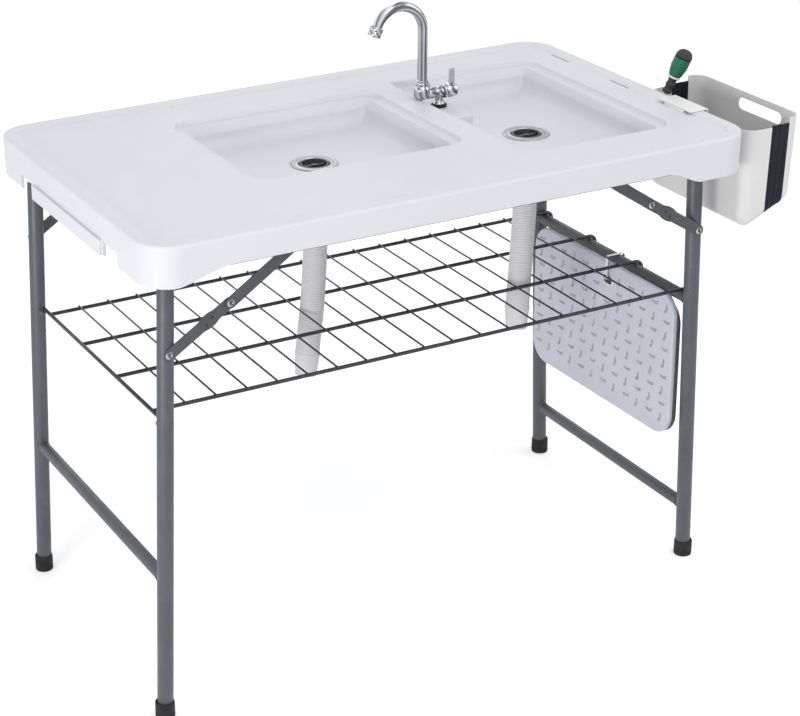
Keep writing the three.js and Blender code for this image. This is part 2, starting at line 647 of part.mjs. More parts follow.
// Drains: flange with its neck, strainer and nut
function buildDrain(label, sink) {
  const floor = DRAIN_FLOOR;
  const seat = floor + GAP;
  const neckBottom = floor - DRAIN_NECK_DROP;
  const tailRadius = HOSE_BORE_RADIUS * Math.cos(Math.PI / HOSE_SIDES) - GAP;
  const tailBore = tailRadius - DRAIN_TAIL_WALL;
  addPiece(`${label}_drain_flange`, turned(sink.drainX, sink.drainY, [
    [tailBore, neckBottom - DRAIN_TAIL_LENGTH],
    [tailRadius, neckBottom - DRAIN_TAIL_LENGTH],
    [tailRadius, neckBottom],
    [DRAIN_NECK_RADIUS, neckBottom],
    [DRAIN_NECK_RADIUS, seat],
    [FLANGE_RADIUS, seat],
    [FLANGE_RADIUS - FLANGE_RISE / 2, seat + FLANGE_RISE / 2],
    [FLANGE_RADIUS - FLANGE_LIP, seat + FLANGE_RISE],
    [DRAIN_NECK_RADIUS, seat + FLANGE_RISE / 2],
    [DRAIN_BORE_RADIUS, seat - FLANGE_RISE],
    [DRAIN_BORE_RADIUS, neckBottom + DRAIN_NECK_FLOOR],
    [tailBore, neckBottom + DRAIN_NECK_FLOOR],
    [tailBore, neckBottom - DRAIN_TAIL_LENGTH],
  ], TUBE_SIDES * 2), 'chrome');
  const base = floor - STRAINER_SINK - STRAINER_FLOOR;
  const x = sink.drainX;
  const y = sink.drainY;
  const cupRadius = DRAIN_BORE_RADIUS - GAP;
  const seatSlope = (FLANGE_RISE * (1 + 1 / 2)) / (DRAIN_NECK_RADIUS - DRAIN_BORE_RADIUS);
  const lipLow = seat - FLANGE_RISE + GAP;
  const lipHigh = lipLow + STRAINER_LIP * seatSlope;
  const cup = turned(x, y, [
    [0, base], [cupRadius, base], [cupRadius, lipLow], [cupRadius + STRAINER_LIP, lipHigh],
    [cupRadius + STRAINER_LIP, lipHigh + STRAINER_LIP_HEIGHT],
    [cupRadius - STRAINER_FLOOR, lipHigh + STRAINER_LIP_HEIGHT],
    [cupRadius - STRAINER_FLOOR, base + STRAINER_FLOOR], [0, base + STRAINER_FLOOR],
  ], TUBE_SIDES * 2);
  const bar = blockBetween(
    vector(x - cupRadius + STRAINER_FLOOR / 2, y - STRAINER_BAR_WIDTH / 2, base + STRAINER_FLOOR / 2),
    vector(x + cupRadius - STRAINER_FLOOR / 2, y + STRAINER_BAR_WIDTH / 2,
      base + STRAINER_FLOOR + STRAINER_BAR_HEIGHT),
  );
  const holes = [1, 2, 4, 5].map((sixth) => {
    const angle = (sixth / 3) * Math.PI;
    const at = vector(
      x + STRAINER_HOLE_CIRCLE * Math.cos(angle), y + STRAINER_HOLE_CIRCLE * Math.sin(angle), base,
    );
    return rodBetween(
      at.clone().setZ(base - OVERRUN), at.clone().setZ(base + OVERRUN), STRAINER_HOLE_RADIUS, SMALL_SIDES,
    );
  });
  addPiece(`${label}_drain_strainer`, geometryOf(carved(joined([cup, bar]), holes)), 'strainer');
  const nutTop = floor - SKIN - GAP;
  addPiece(`${label}_drain_nut`, turned(x, y, ringProfile(
    DRAIN_NECK_RADIUS + GAP * 2, DRAIN_NUT_RADIUS, nutTop - DRAIN_NUT_HEIGHT, nutTop,
  ), TUBE_SIDES), 'nut');
}

// Drain hoses: a ribbed skin with a plain head round the neck and a plain cuff below
function buildHose(label, path, sink) {
  const head = vector(sink.drainX, sink.drainY, DRAIN_FLOOR - DRAIN_NECK_DROP - GAP);
  const points = [head, ...path.map(([x, y, z]) => vector(x, y, z))];
  const curve = new THREE.CatmullRomCurve3(points, false, 'centripetal');
  const length = curve.getLength();
  const ribSpan = length - 2 * HOSE_STRAIGHT;
  const ribs = Math.floor(ribSpan / HOSE_PITCH);
  const outer = [{ share: 0, radius: HOSE_RIB_RADIUS + GAP * 2 }];
  outer.push({ share: HOSE_STRAIGHT / length, radius: HOSE_RIB_RADIUS + GAP * 2 });
  for (let rib = 0; rib < ribs; rib += 1) {
    const start = HOSE_STRAIGHT + (ribSpan * (rib + 1 / 4)) / ribs;
    outer.push({ share: start / length, radius: HOSE_ROOT_RADIUS });
    outer.push({ share: (start + HOSE_PITCH / 2) / length, radius: HOSE_RIB_RADIUS });
  }
  outer.push({ share: 1 - HOSE_STRAIGHT / length, radius: HOSE_CUFF_RADIUS });
  outer.push({ share: 1, radius: HOSE_CUFF_END_RADIUS });
  const bore = outer
    .filter((ring, index) => index < 2 || index > outer.length - 3 || index % (2 * RIBS_PER_BORE_RING) === 0)
    .map((ring) => ({ share: ring.share, radius: HOSE_BORE_RADIUS }));
  const ringAt = ({ share, radius }, headRadius) => {
    const at = curve.getPointAt(share);
    const along = curve.getTangentAt(share);
    if (share === 0) {
      along.set(0, 0, -1);
    }
    const sideways = vector(1, 0, 0).addScaledVector(along, -along.x).normalize();
    const across = along.clone().cross(sideways);
    const ring = [];
    for (let side = 0; side < HOSE_SIDES; side += 1) {
      const angle = (side / HOSE_SIDES) * 2 * Math.PI;
      ring.push(at.clone().addScaledVector(sideways, (headRadius ?? radius) * Math.cos(angle))
        .addScaledVector(across, (headRadius ?? radius) * Math.sin(angle)));
    }
    return ring;
  };
  const skin = [...outer.map((ring) => ringAt(ring)), ...bore.reverse().map((ring) => ringAt(ring))];
  const positions = [];
  const addTriangle = (a, b, c) => positions.push(...a.toArray(), ...b.toArray(), ...c.toArray());
  skin.forEach((ring, level) => {
    const follower = skin[(level + 1) % skin.length];
    for (let side = 0; side < HOSE_SIDES; side += 1) {
      const next = (side + 1) % HOSE_SIDES;
      addTriangle(ring[side], ring[next], follower[next]);
      addTriangle(ring[side], follower[next], follower[side]);
    }
  });
  const geometry = new THREE.BufferGeometry();
  geometry.setAttribute('position', new THREE.Float32BufferAttribute(positions, 3));
  addPiece(`${label}_drain_hose`, mergeVertices(geometry, MERGE_GAP).toNonIndexed(), 'hose');
}

// Faucet
function buildFaucet() {
  const low = POCKET_FLOOR + GAP;
  addPiece('faucet_gasket', turned(SHANK_X, FAUCET_Y, ringProfile(
    SHANK_RADIUS + GAP, GASKET_RADIUS, low, low + GASKET_HEIGHT,
  )), 'rubber');
  const axis = (x, y = FAUCET_Y) => vector(x, y, BARREL_HEIGHT);
  const seat = low + GASKET_HEIGHT + GAP;
  const elbowBottom = BARREL_HEIGHT - ELBOW_DROP;
  const elbowShoulder = BARREL_HEIGHT + ELBOW_SHOULDER_RISE;
  const body = joined([
    rodBetween(
      vector(SHANK_X, FAUCET_Y, POCKET_FLOOR - SHANK_DROP), vector(SHANK_X, FAUCET_Y, BARREL_HEIGHT),
      SHANK_RADIUS, TUBE_SIDES,
    ),
    rodBetween(
      vector(SHANK_X, FAUCET_Y, seat), vector(SHANK_X, FAUCET_Y, seat + STEM_FLANGE_HEIGHT),
      STEM_FLANGE_RADIUS, TUBE_SIDES,
    ),
    rodBetween(axis(ELBOW_X + BARREL_INSET), axis(BARREL_END_X - GAP), BARREL_RADIUS, TUBE_SIDES * 2),
    turned(ELBOW_X, FAUCET_Y, [
      [0, elbowBottom], [ELBOW_RADIUS * ELBOW_WAIST_SHARE, elbowBottom],
      [ELBOW_RADIUS, elbowBottom + COLLAR_RADIUS / 2], [ELBOW_RADIUS, elbowShoulder - COLLAR_RADIUS / 2],
      [COLLAR_RADIUS, elbowShoulder], [COLLAR_RADIUS, ELBOW_TOP], [0, ELBOW_TOP],
    ], TUBE_SIDES * 2),
  ]);
  const spoutSocket = rodBetween(
    vector(ELBOW_X, FAUCET_Y, ELBOW_TOP - SPOUT_SOCKET), vector(ELBOW_X, FAUCET_Y, ELBOW_TOP + OVERRUN),
    SPOUT_RADIUS + GAP, TUBE_SIDES * 2,
  );
  const valveSocket = rodBetween(
    axis(BARREL_END_X - HUB_SPIGOT_REACH), axis(BARREL_END_X + OVERRUN), HUB_SPIGOT_RADIUS + GAP, TUBE_SIDES,
  );
  addPiece('faucet_body', geometryOf(carved(body, [spoutSocket, valveSocket])), 'chrome');
  const hub = joined([
    rodBetween(axis(BARREL_END_X), axis(HUB_END_X), HUB_RADIUS, TUBE_SIDES * 2),
    rodBetween(
      axis(BARREL_END_X - HUB_SPIGOT_REACH + GAP), axis(BARREL_END_X + HUB_SPIGOT_RADIUS),
      HUB_SPIGOT_RADIUS, TUBE_SIDES,
    ),
  ]);
  const leverLow = BARREL_HEIGHT + HUB_RADIUS - LEVER_LEAN;
  const leverSeat = blockBetween(
    vector(LEVER_MIN_X - GAP, FAUCET_Y - LEVER_THICKNESS / 2 - GAP, leverLow - GAP),
    vector(LEVER_MAX_X + GAP, FAUCET_Y + LEVER_THICKNESS / 2 + GAP, leverLow + OVERRUN),
  );
  addPiece('faucet_valve_hub', geometryOf(carved(hub, [leverSeat])), 'chrome');
  const leverTop = BARREL_HEIGHT + HUB_RADIUS + LEVER_HEIGHT;
  addPiece('faucet_lever', plateAlongY(
    roundedOutline(LEVER_MIN_X, LEVER_MAX_X, leverLow, leverTop, LEVER_LEAN / 2, ROUND_STEPS),
    FAUCET_Y - LEVER_THICKNESS / 2, LEVER_THICKNESS,
  ), 'chrome');
  const nutTop = POCKET_FLOOR - SKIN - GAP;
  addPiece('faucet_lock_nut', turned(SHANK_X, FAUCET_Y, ringProfile(
    SHANK_RADIUS + GAP, FAUCET_NUT_RADIUS, nutTop - FAUCET_NUT_HEIGHT, nutTop,
  ), WIRE_SIDES * 2), 'nut');
  buildSpout();
}

function buildSpout() {
  const endAngle = SPOUT_END_ANGLE * DEGREE;
  const points = [
    vector(ELBOW_X, FAUCET_Y, ELBOW_TOP - SPOUT_SOCKET + GAP),
    vector(ELBOW_X, FAUCET_Y, ELBOW_TOP),
    vector(ELBOW_X, FAUCET_Y, (ELBOW_TOP + SPOUT_BEND_HEIGHT) / 2),
  ];
  const arcSteps = CURVE_STEPS / 2;
  for (let step = 0; step <= arcSteps; step += 1) {
    const angle = (step / arcSteps) * endAngle;
    points.push(vector(
      ELBOW_X - SPOUT_BEND_RADIUS * (1 - Math.cos(angle)), FAUCET_Y,
      SPOUT_BEND_HEIGHT + SPOUT_BEND_RADIUS * Math.sin(angle),
    ));
  }
  const last = points[points.length - 1];
  const along = vector(-Math.sin(endAngle), 0, Math.cos(endAngle));
  const tip = last.clone().addScaledVector(along, SPOUT_TAIL);
  points.push(tip);
  addPiece('faucet_spout', tubeAlong(points, SPOUT_RADIUS, SMALL_SIDES, CURVE_STEPS * 2), 'chrome');
  const start = tip.clone().addScaledVector(along, -AERATOR_LAP);
  const end = start.clone().addScaledVector(along, AERATOR_LENGTH);
  const sleeve = solidOf(rodBetween(start, end, AERATOR_RADIUS, TUBE_SIDES * 2));
  const throat = rodBetween(
    start.clone().addScaledVector(along, -OVERRUN), tip.clone().addScaledVector(along, GAP),
    SPOUT_RADIUS + GAP, TUBE_SIDES * 2,
  );
  const mouth = rodBetween(
    end.clone().addScaledVector(along, -AERATOR_MOUTH), end.clone().addScaledVector(along, OVERRUN),
    SPOUT_RADIUS, TUBE_SIDES * 2,
  );
  addPiece('faucet_aerator', geometryOf(carved(sleeve, [throat, mouth])), 'chrome');
}

// A point on a leg's axis at the given height
function legPoint(side, y, height) {
  const lean = (LEG_PIVOT_HEIGHT - height) * Math.tan(LEG_TILT);
  return vector(side * (LEG_PIVOT_X + lean), y, height);
}

function buildRails() {
  [['front', -1], ['back', 1]].forEach(([label, side]) => {
    const half = RAIL_LENGTH / 2;
    const flangeHalf = RAIL_FLANGE_LENGTH / 2;
    const top = DECK - SKIN - GAP;
    const ys = [side * RAIL_Y, side * (RAIL_Y + RAIL_THICKNESS)].sort((a, b) => a - b);
    const flangeYs = [side * RAIL_Y, side * (RAIL_Y + RAIL_FLANGE)].sort((a, b) => a - b);
    const rail = joined([
      blockBetween(vector(-half, ys[0], top - RAIL_HEIGHT), vector(half, ys[1], top)),
      blockBetween(
        vector(-flangeHalf, flangeYs[0], top - RAIL_THICKNESS), vector(flangeHalf, flangeYs[1], top),
      ),
    ]);
    const bores = [-1, 1].map((end) => rodBetween(
      vector(end * LEG_PIVOT_X, side * (RAIL_Y - OVERRUN), LEG_PIVOT_HEIGHT),
      vector(end * LEG_PIVOT_X, side * (RAIL_Y + OVERRUN), LEG_PIVOT_HEIGHT),
      PIVOT_TUBE_RADIUS + GAP, TUBE_SIDES,
    ));
    addPiece(`${label}_rail`, geometryOf(carved(rail, bores)), 'paint');
  });
}

function buildFrame(label, side, legY, crossbarHeight) {
  const pivot = (y) => vector(side * LEG_PIVOT_X, y, LEG_PIVOT_HEIGHT);
  const reach = RAIL_Y + RAIL_THICKNESS * 2;
  const pivotTube = rodBetween(pivot(-reach), pivot(reach), PIVOT_TUBE_RADIUS, TUBE_SIDES);
  addPiece(`${label}_pivot_tube`, pivotTube, 'paint');
  const barInset = LEG_RADIUS - CROSSBAR_SINK;
  [['front', -1], ['back', 1]].forEach(([depth, way]) => {
    const y = way * legY;
    const foot = legPoint(side, y, 0);
    const heel = legPoint(side, y, FOOT_SOLE + GAP);
    const crown = legPoint(side, y, LEG_PIVOT_HEIGHT + LEG_CROWN);
    const parts = [rodBetween(heel, crown, LEG_RADIUS, TUBE_SIDES)];
    if (label === 'left') {
      const pegHeight = SHELF_HEIGHT - LONG_WIRE_RADIUS - PEG_RADIUS - GAP;
      const at = legPoint(side, y, pegHeight);
      parts.push(rodBetween(
        at, at.clone().setY(way * (legY - LEG_RADIUS - PEG_REACH)), PEG_RADIUS, SMALL_SIDES,
      ));
    }
    const bores = [rodBetween(
      pivot(y - LEG_RADIUS - OVERRUN), pivot(y + LEG_RADIUS + OVERRUN), PIVOT_TUBE_RADIUS + GAP, TUBE_SIDES,
    )];
    crossbarHeights(label, crossbarHeight).forEach((height) => {
      const end = legPoint(side, y, height);
      bores.push(rodBetween(
        end.clone().setY(way * (legY - barInset + GAP)), end.clone().setY(0),
        CROSSBAR_RADIUS + GAP, TUBE_SIDES,
      ));
    });
    addPiece(`${label}_${depth}_leg`, geometryOf(carved(joined(parts), bores)), 'paint');
    const shoe = solidOf(turned(foot.x, y, [
      [0, 0], [FOOT_RADIUS - FOOT_BEVEL, 0], [FOOT_RADIUS, FOOT_BEVEL], [FOOT_RADIUS, FOOT_HEIGHT],
      [0, FOOT_HEIGHT],
    ], TUBE_SIDES * 2));
    const socket = rodBetween(
      legPoint(side, y, FOOT_SOLE), legPoint(side, y, FOOT_HEIGHT + OVERRUN), LEG_RADIUS + GAP, TUBE_SIDES,
    );
    addPiece(`${label}_${depth}_foot`, geometryOf(carved(shoe, [socket])), 'rubber');
  });
  const names = label === 'left' ? ['lower_crossbar'] : ['lower_crossbar', 'shelf_crossbar'];
  crossbarHeights(label, crossbarHeight).forEach((height, index) => {
    const end = legPoint(side, legY - barInset, height);
    addPiece(`${label}_${names[index]}`, rodBetween(
      end.clone().setY(-end.y), end, CROSSBAR_RADIUS, TUBE_SIDES,
    ), 'paint');
  });
}

function crossbarHeights(label, lowerHeight) {
  if (label === 'left') {
    return [lowerHeight];
  }
  return [lowerHeight, SHELF_BAR_HEIGHT];
}

// A flat link in the XZ plane between two pins, wider round the locking end
function linkOutline(start, end, startWidth, endWidth) {
  const along = Math.atan2(end.z - start.z, end.x - start.x);
  const outline = [];
  [[end, endWidth, -QUARTER_TURN], [start, startWidth, QUARTER_TURN]].forEach(([pin, width, first]) => {
    for (let step = 0; step <= CORNER_STEPS; step += 1) {
      const angle = along + first + (step / CORNER_STEPS) * Math.PI;
      outline.push([pin.x + width * Math.cos(angle), pin.z + width * Math.sin(angle)]);
    }
  });
  return outline;
}

function buildStays(label, side, legY) {
  const legPin = legPoint(side, 0, LEG_PIVOT_HEIGHT - STAY_LEG_DROP);
  const knee = vector(side * STAY_KNEE_X, 0, STAY_KNEE_HEIGHT);
  const railPin = vector(side * STAY_RAIL_X, 0, LEG_PIVOT_HEIGHT);
  [['front', -1], ['back', 1]].forEach(([depth, way]) => {
    const lowerNear = legY + LEG_RADIUS + GAP;
    const upperNear = lowerNear + STAY_THICKNESS + GAP;
    const plate = (outline, near) => plateAlongY(
      outline, Math.min(way * near, way * (near + STAY_THICKNESS)), STAY_THICKNESS,
    );
    const rivet = (pin, near, far, radius) => rodBetween(
      pin.clone().setY(way * near), pin.clone().setY(way * far), radius, SMALL_SIDES,
    );
    const lowerFar = lowerNear + STAY_THICKNESS;
    const upperFar = upperNear + STAY_THICKNESS;
    const lockPoint = knee.clone().lerp(legPin, LOCK_SHARE);
    addPiece(`${label}_${depth}_lower_stay`, geometryOf(joined([
      plate(linkOutline(legPin, knee, STAY_HALF_WIDTH, STAY_HALF_WIDTH), lowerNear),
      plate(linkOutline(lockPoint, knee, STAY_KNEE_HALF_WIDTH, STAY_HALF_WIDTH), lowerNear),
      rivet(legPin, lowerNear, lowerFar + RIVET_HEAD, RIVET_RADIUS),
    ])), 'stay');
    addPiece(`${label}_${depth}_upper_stay`, geometryOf(joined([
      plate(linkOutline(knee, railPin, STAY_HALF_WIDTH, STAY_HALF_WIDTH), upperNear),
      rivet(knee, upperNear, upperFar + RIVET_HEAD, RIVET_RADIUS),
      rivet(railPin, upperNear, RAIL_Y - GAP, RIVET_PIN_RADIUS),
    ])), 'stay');
  });
}

// Wire shelf: four long wires, cross wires on top of them and an end wire, welded in one piece
function buildShelf() {
  const barX = legPoint(1, 0, SHELF_BAR_HEIGHT).x;
  const hookRadius = CROSSBAR_RADIUS + GAP + LONG_WIRE_RADIUS;
  const barHeight = SHELF_HEIGHT - hookRadius;
  const parts = LONG_WIRE_YS.map((y) => {
    const points = [vector(SHELF_LEFT_X, y, SHELF_HEIGHT)];
    for (let step = 0; step <= HOOK_STEPS; step += 1) {
      const angle = (1 - step / HOOK_STEPS) * QUARTER_TURN;
      points.push(vector(barX + hookRadius * Math.cos(angle), y, barHeight + hookRadius * Math.sin(angle)));
    }
    points.push(vector(barX + hookRadius, y, barHeight - HOOK_TAIL));
    return bentRod(points, LONG_WIRE_RADIUS, WIRE_SIDES, Math.PI / WIRE_SIDES);
  });
  const crossHeight = SHELF_HEIGHT + LONG_WIRE_RADIUS + CROSS_WIRE_RADIUS - WIRE_WELD * 2;
  const reach = LONG_WIRE_YS[0] + CROSS_WIRE_OVERHANG;
  for (let wire = 0; wire < CROSS_WIRE_COUNT; wire += 1) {
    const x = SHELF_LEFT_X + (wire + 1) * CROSS_WIRE_PITCH;
    parts.push(rodBetween(
      vector(x, -reach, crossHeight), vector(x, reach, crossHeight), CROSS_WIRE_RADIUS, CROSS_WIRE_SIDES,
    ));
  }
  parts.push(rodBetween(
    vector(SHELF_LEFT_X, -SHELF_END_Y, SHELF_HEIGHT), vector(SHELF_LEFT_X, SHELF_END_Y, SHELF_HEIGHT),
    LONG_WIRE_RADIUS, WIRE_SIDES,
  ));
  addPiece('wire_shelf', geometryOf(joined(parts)), 'wire');
}

// Two boards that hang from the shelf crossbar by a strap
function buildBoards() {
  const barX = legPoint(1, 0, SHELF_BAR_HEIGHT).x;
  const frontX = barX - CROSSBAR_RADIUS - GAP - BOARD_THICKNESS;
  const rearX = frontX + BOARD_THICKNESS + GAP;
  const boardTop = SHELF_HEIGHT - BOARD_DROP;
  const boardHalf = RIGHT_LEG_Y - LEG_RADIUS - BOARD_SIDE_GAP;
  const holeHeight = boardTop - BOARD_HOLE_DROP;
  const strandTop = holeHeight + BOARD_HOLE_HALF_HEIGHT - GAP;
  const tilted = (outline) => outline.map(([y, z]) => {
    const turn = -BOARD_TILT * DEGREE;
    const dy = y - BOARD_HOLE_Y;
    const dz = z - holeHeight;
    return [
      BOARD_HOLE_Y + dy * Math.cos(turn) - dz * Math.sin(turn),
      holeHeight + dy * Math.sin(turn) + dz * Math.cos(turn),
    ];
  });
  const hole = () => plateAlongX(roundedOutline(
    BOARD_HOLE_Y - BOARD_HOLE_HALF_WIDTH, BOARD_HOLE_Y + BOARD_HOLE_HALF_WIDTH,
    holeHeight - BOARD_HOLE_HALF_HEIGHT, holeHeight + BOARD_HOLE_HALF_HEIGHT,
    BOARD_HOLE_HALF_HEIGHT * NEAR_FULL_SHARE, ROUND_STEPS,
  ), frontX - OVERRUN, OVERRUN * 3);
  [['cutting_board', frontX, BOARD_THICKNESS, 0, 'board'],
    ['rear_board', rearX, REAR_BOARD_THICKNESS, REAR_BOARD_DROP, 'darkBoard']].forEach((entry) => {
    const [name, x, thickness, drop, finish] = entry;
    const outline = roundedOutline(
      -boardHalf, boardHalf, boardTop - BOARD_HEIGHT, boardTop - drop, BOARD_CORNER,
    );
    const board = solidOf(plateAlongX(tilted(outline), x, thickness));
    addPiece(name, geometryOf(carved(board, [hole()])), finish);
  });
  const inner = {
    minX: frontX - STRAP_CORNER, maxX: barX + CROSSBAR_RADIUS + GAP,
    minZ: strandTop, maxZ: SHELF_BAR_HEIGHT + CROSSBAR_RADIUS + GAP,
  };
  const outline = (grow) => roundedOutline(
    inner.minX - grow, inner.maxX + grow, inner.minZ - grow, inner.maxZ + grow, STRAP_CORNER,
  );
  const loop = solidOf(plateAlongY(outline(STRAP_THICKNESS), BOARD_HOLE_Y - STRAP_WIDTH / 2, STRAP_WIDTH));
  const space = plateAlongY(outline(0), BOARD_HOLE_Y - STRAP_WIDTH / 2 - OVERRUN, STRAP_WIDTH + OVERRUN * 2);
  addPiece('board_strap', geometryOf(carved(loop, [space])), 'strap');
}

// Bin: two hard halves with a soft band between them, and a hook over the rim
function binLoft(inset, crown) {
  const box = { minX: BIN_MIN_X, maxX: BIN_MAX_X, minY: BIN_MIN_Y, maxY: BIN_MAX_Y, corner: BIN_CORNER };
  const rings = [];
  for (let step = 0; step <= ROUND_STEPS; step += 1) {
    const angle = (step / ROUND_STEPS) * QUARTER_TURN;
    const level = insetRing(
      box, BIN_TAPER + inset + BIN_ROUNDING * (1 - Math.sin(angle)),
      BIN_BOTTOM + inset + BIN_ROUNDING * (1 - Math.cos(angle)),
    );
    level.forEach((point) => {
      const climb = Math.max(0, point.x - BIN_MIN_X - BIN_FLAT_FLOOR);
      point.z += (BIN_FLOOR_RISE * climb) / (BIN_REACH - BIN_FLAT_FLOOR);
    });
    rings.push(level);
  }
  rings.push(insetRing(box, inset, BIN_OUTER_TOP));
  if (crown > BIN_OUTER_TOP) {
    rings.push(insetRing(box, inset, crown));
  }
  return solidOf(loft(rings));
}

function slice(solid, minX, maxX, top) {
  return solid.intersect(solidOf(blockBetween(
    vector(minX, BIN_MIN_Y - OVERRUN, BIN_BOTTOM - OVERRUN), vector(maxX, BIN_MAX_Y + OVERRUN, top),
  )));
}

function buildBin() {
  const shell = binLoft(0, BIN_OUTER_TOP).subtract(binLoft(BIN_WALL, BIN_OUTER_TOP + OVERRUN));
  const soft = binLoft(BIN_BAND_INSET, BIN_OUTER_TOP)
    .subtract(binLoft(BIN_WALL - BIN_BAND_INSET / 2, BIN_OUTER_TOP + OVERRUN));
  const hookX = SLOT_X - SLOT_WIDTH / 2 + GAP;
  addPiece('bin_inner_half', geometryOf(slice(
    shell, BIN_MIN_X - OVERRUN, BIN_BAND_MIN_X, BIN_INNER_TOP,
  )), 'binShell');
  addPiece('bin_band', geometryOf(slice(
    soft, BIN_BAND_MIN_X + GAP, BIN_BAND_MAX_X - GAP, BIN_BAND_TOP,
  )), 'binBand');
  const handle = plateAlongX(roundedOutline(
    HANDLE_MIN_Y, HANDLE_MAX_Y, HANDLE_MIN_HEIGHT, HANDLE_MAX_HEIGHT,
    ((HANDLE_MAX_HEIGHT - HANDLE_MIN_HEIGHT) / 2) * NEAR_FULL_SHARE,
  ), BIN_MAX_X - OVERRUN, OVERRUN * 2);
  addPiece('bin_outer_half', geometryOf(carved(slice(
    shell, BIN_BAND_MAX_X, BIN_MAX_X + OVERRUN, BIN_OUTER_TOP,
  ), [handle])), 'binShell');
  const plateLow = TOP_HEIGHT + GAP;
  const wallHeight = BIN_OUTER_TOP - BIN_BOTTOM - BIN_ROUNDING;
  const wallLean = (BIN_TAPER * (BIN_OUTER_TOP - BIN_INNER_TOP)) / wallHeight;
  const flapX = BIN_MIN_X + wallLean - GAP;
  const hook = joined([
    blockBetween(
      vector(hookX, HOOK_MIN_Y, plateLow), vector(flapX, HOOK_MAX_Y, plateLow + HOOK_THICKNESS),
    ),
    blockBetween(
      vector(hookX, SLOT_CENTRES[2] - SLOT_LENGTH / 2 + GAP * 2, plateLow - HOOK_LIP),
      vector(hookX + HOOK_THICKNESS, SLOT_CENTRES[2] + SLOT_LENGTH / 2 - GAP * 2, plateLow + HOOK_THICKNESS),
    ),
    blockBetween(
      vector(flapX - HOOK_THICKNESS, HOOK_MIN_Y, plateLow - HOOK_FLAP),
      vector(flapX, HOOK_MAX_Y, plateLow + HOOK_THICKNESS),
    ),
  ]);
  addPiece('bin_hook', geometryOf(hook), 'clip');
}

// Tool standing in the bin
function buildTool() {
  const along = vector(TOOL_LEAN_X, TOOL_LEAN_Y, 1).normalize();
  const rim = vector(
    BIN_MIN_X + TOOL_RIM_REACH, BIN_MAX_Y - TOOL_RIM_INSET, BIN_INNER_TOP + TOOL_RIM_RISE,
  );
  const at = (distance) => rim.clone().addScaledVector(along, distance);
  const neckEnd = TOOL_NECK_LENGTH;
  const ringEnd = neckEnd + GAP + TOOL_RING_LENGTH;
  const gripEnd = ringEnd + GAP + TOOL_GRIP_LENGTH;
  const turn = new THREE.Quaternion().setFromUnitVectors(vector(0, 0, 1), along);
  const blade = new THREE.BoxGeometry(TOOL_BLADE_WIDTH, TOOL_BLADE_THICKNESS, TOOL_BLADE_LENGTH);
  const middle = at(-GAP - TOOL_BLADE_LENGTH / 2);
  addPiece('tool_blade', blade.applyQuaternion(turn).translate(middle.x, middle.y, middle.z), 'blade');
  const body = (profile, start) => {
    const points = profile.map(([radius, distance]) => new THREE.Vector2(radius, distance));
    const geometry = new THREE.LatheGeometry(points, TUBE_SIDES).rotateX(QUARTER_TURN);
    const from = at(start);
    return geometry.applyQuaternion(turn).translate(from.x, from.y, from.z);
  };
  addPiece('tool_neck', body([
    [0, 0], [TOOL_NECK_RADIUS, 0], [TOOL_NECK_RADIUS * GRIP_WAIST_SHARE, TOOL_NECK_LENGTH / 2],
    [TOOL_NECK_RADIUS, TOOL_NECK_LENGTH], [0, TOOL_NECK_LENGTH],
  ], 0), 'gripBlack');
  addPiece('tool_ring', body([
    [0, 0], [TOOL_RING_RADIUS, 0], [TOOL_RING_RADIUS, TOOL_RING_LENGTH], [0, TOOL_RING_LENGTH],
  ], neckEnd + GAP), 'clip');
  addPiece('tool_grip', body([
    [0, 0], [TOOL_GRIP_RADIUS * GRIP_WAIST_SHARE, 0], [TOOL_GRIP_RADIUS, TOOL_GRIP_LENGTH / 2],
    [TOOL_GRIP_RADIUS, TOOL_GRIP_LENGTH], [0, TOOL_GRIP_LENGTH],
  ], ringEnd + GAP), 'grip');
  addPiece('tool_cap', body([
    [0, 0], [TOOL_GRIP_RADIUS, 0], [TOOL_GRIP_RADIUS * NEAR_FULL_SHARE, TOOL_CAP_LENGTH / 3],
    [TOOL_GRIP_RADIUS * GRIP_WAIST_SHARE, (TOOL_CAP_LENGTH * 3) / 4],
    [TOOL_GRIP_RADIUS * CAP_END_SHARE, TOOL_CAP_LENGTH], [0, TOOL_CAP_LENGTH],
  ], gripEnd + GAP), 'gripBlack');
}

buildTop();
buildClips();
buildDrain('left', LEFT_SINK);
buildDrain('right', RIGHT_SINK);
buildHose('left', LEFT_HOSE_PATH, LEFT_SINK);
buildHose('right', RIGHT_HOSE_PATH, RIGHT_SINK);
buildFaucet();
buildRails();
buildFrame('left', -1, LEFT_LEG_Y, LEFT_CROSSBAR_HEIGHT);
buildFrame('right', 1, RIGHT_LEG_Y, RIGHT_CROSSBAR_HEIGHT);
buildStays('left', -1, LEFT_LEG_Y);
buildStays('right', 1, RIGHT_LEG_Y);
buildShelf();
buildBoards();
buildBin();
buildTool();

export default table;
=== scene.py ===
"""Dresses the fish cleaning table: smooth moulded shapes, procedural finishes, camera and studio."""

import logging
import math
from collections.abc import Callable
from dataclasses import dataclass, field
from enum import Enum

import bmesh
import bpy
from mathutils import Matrix, Vector


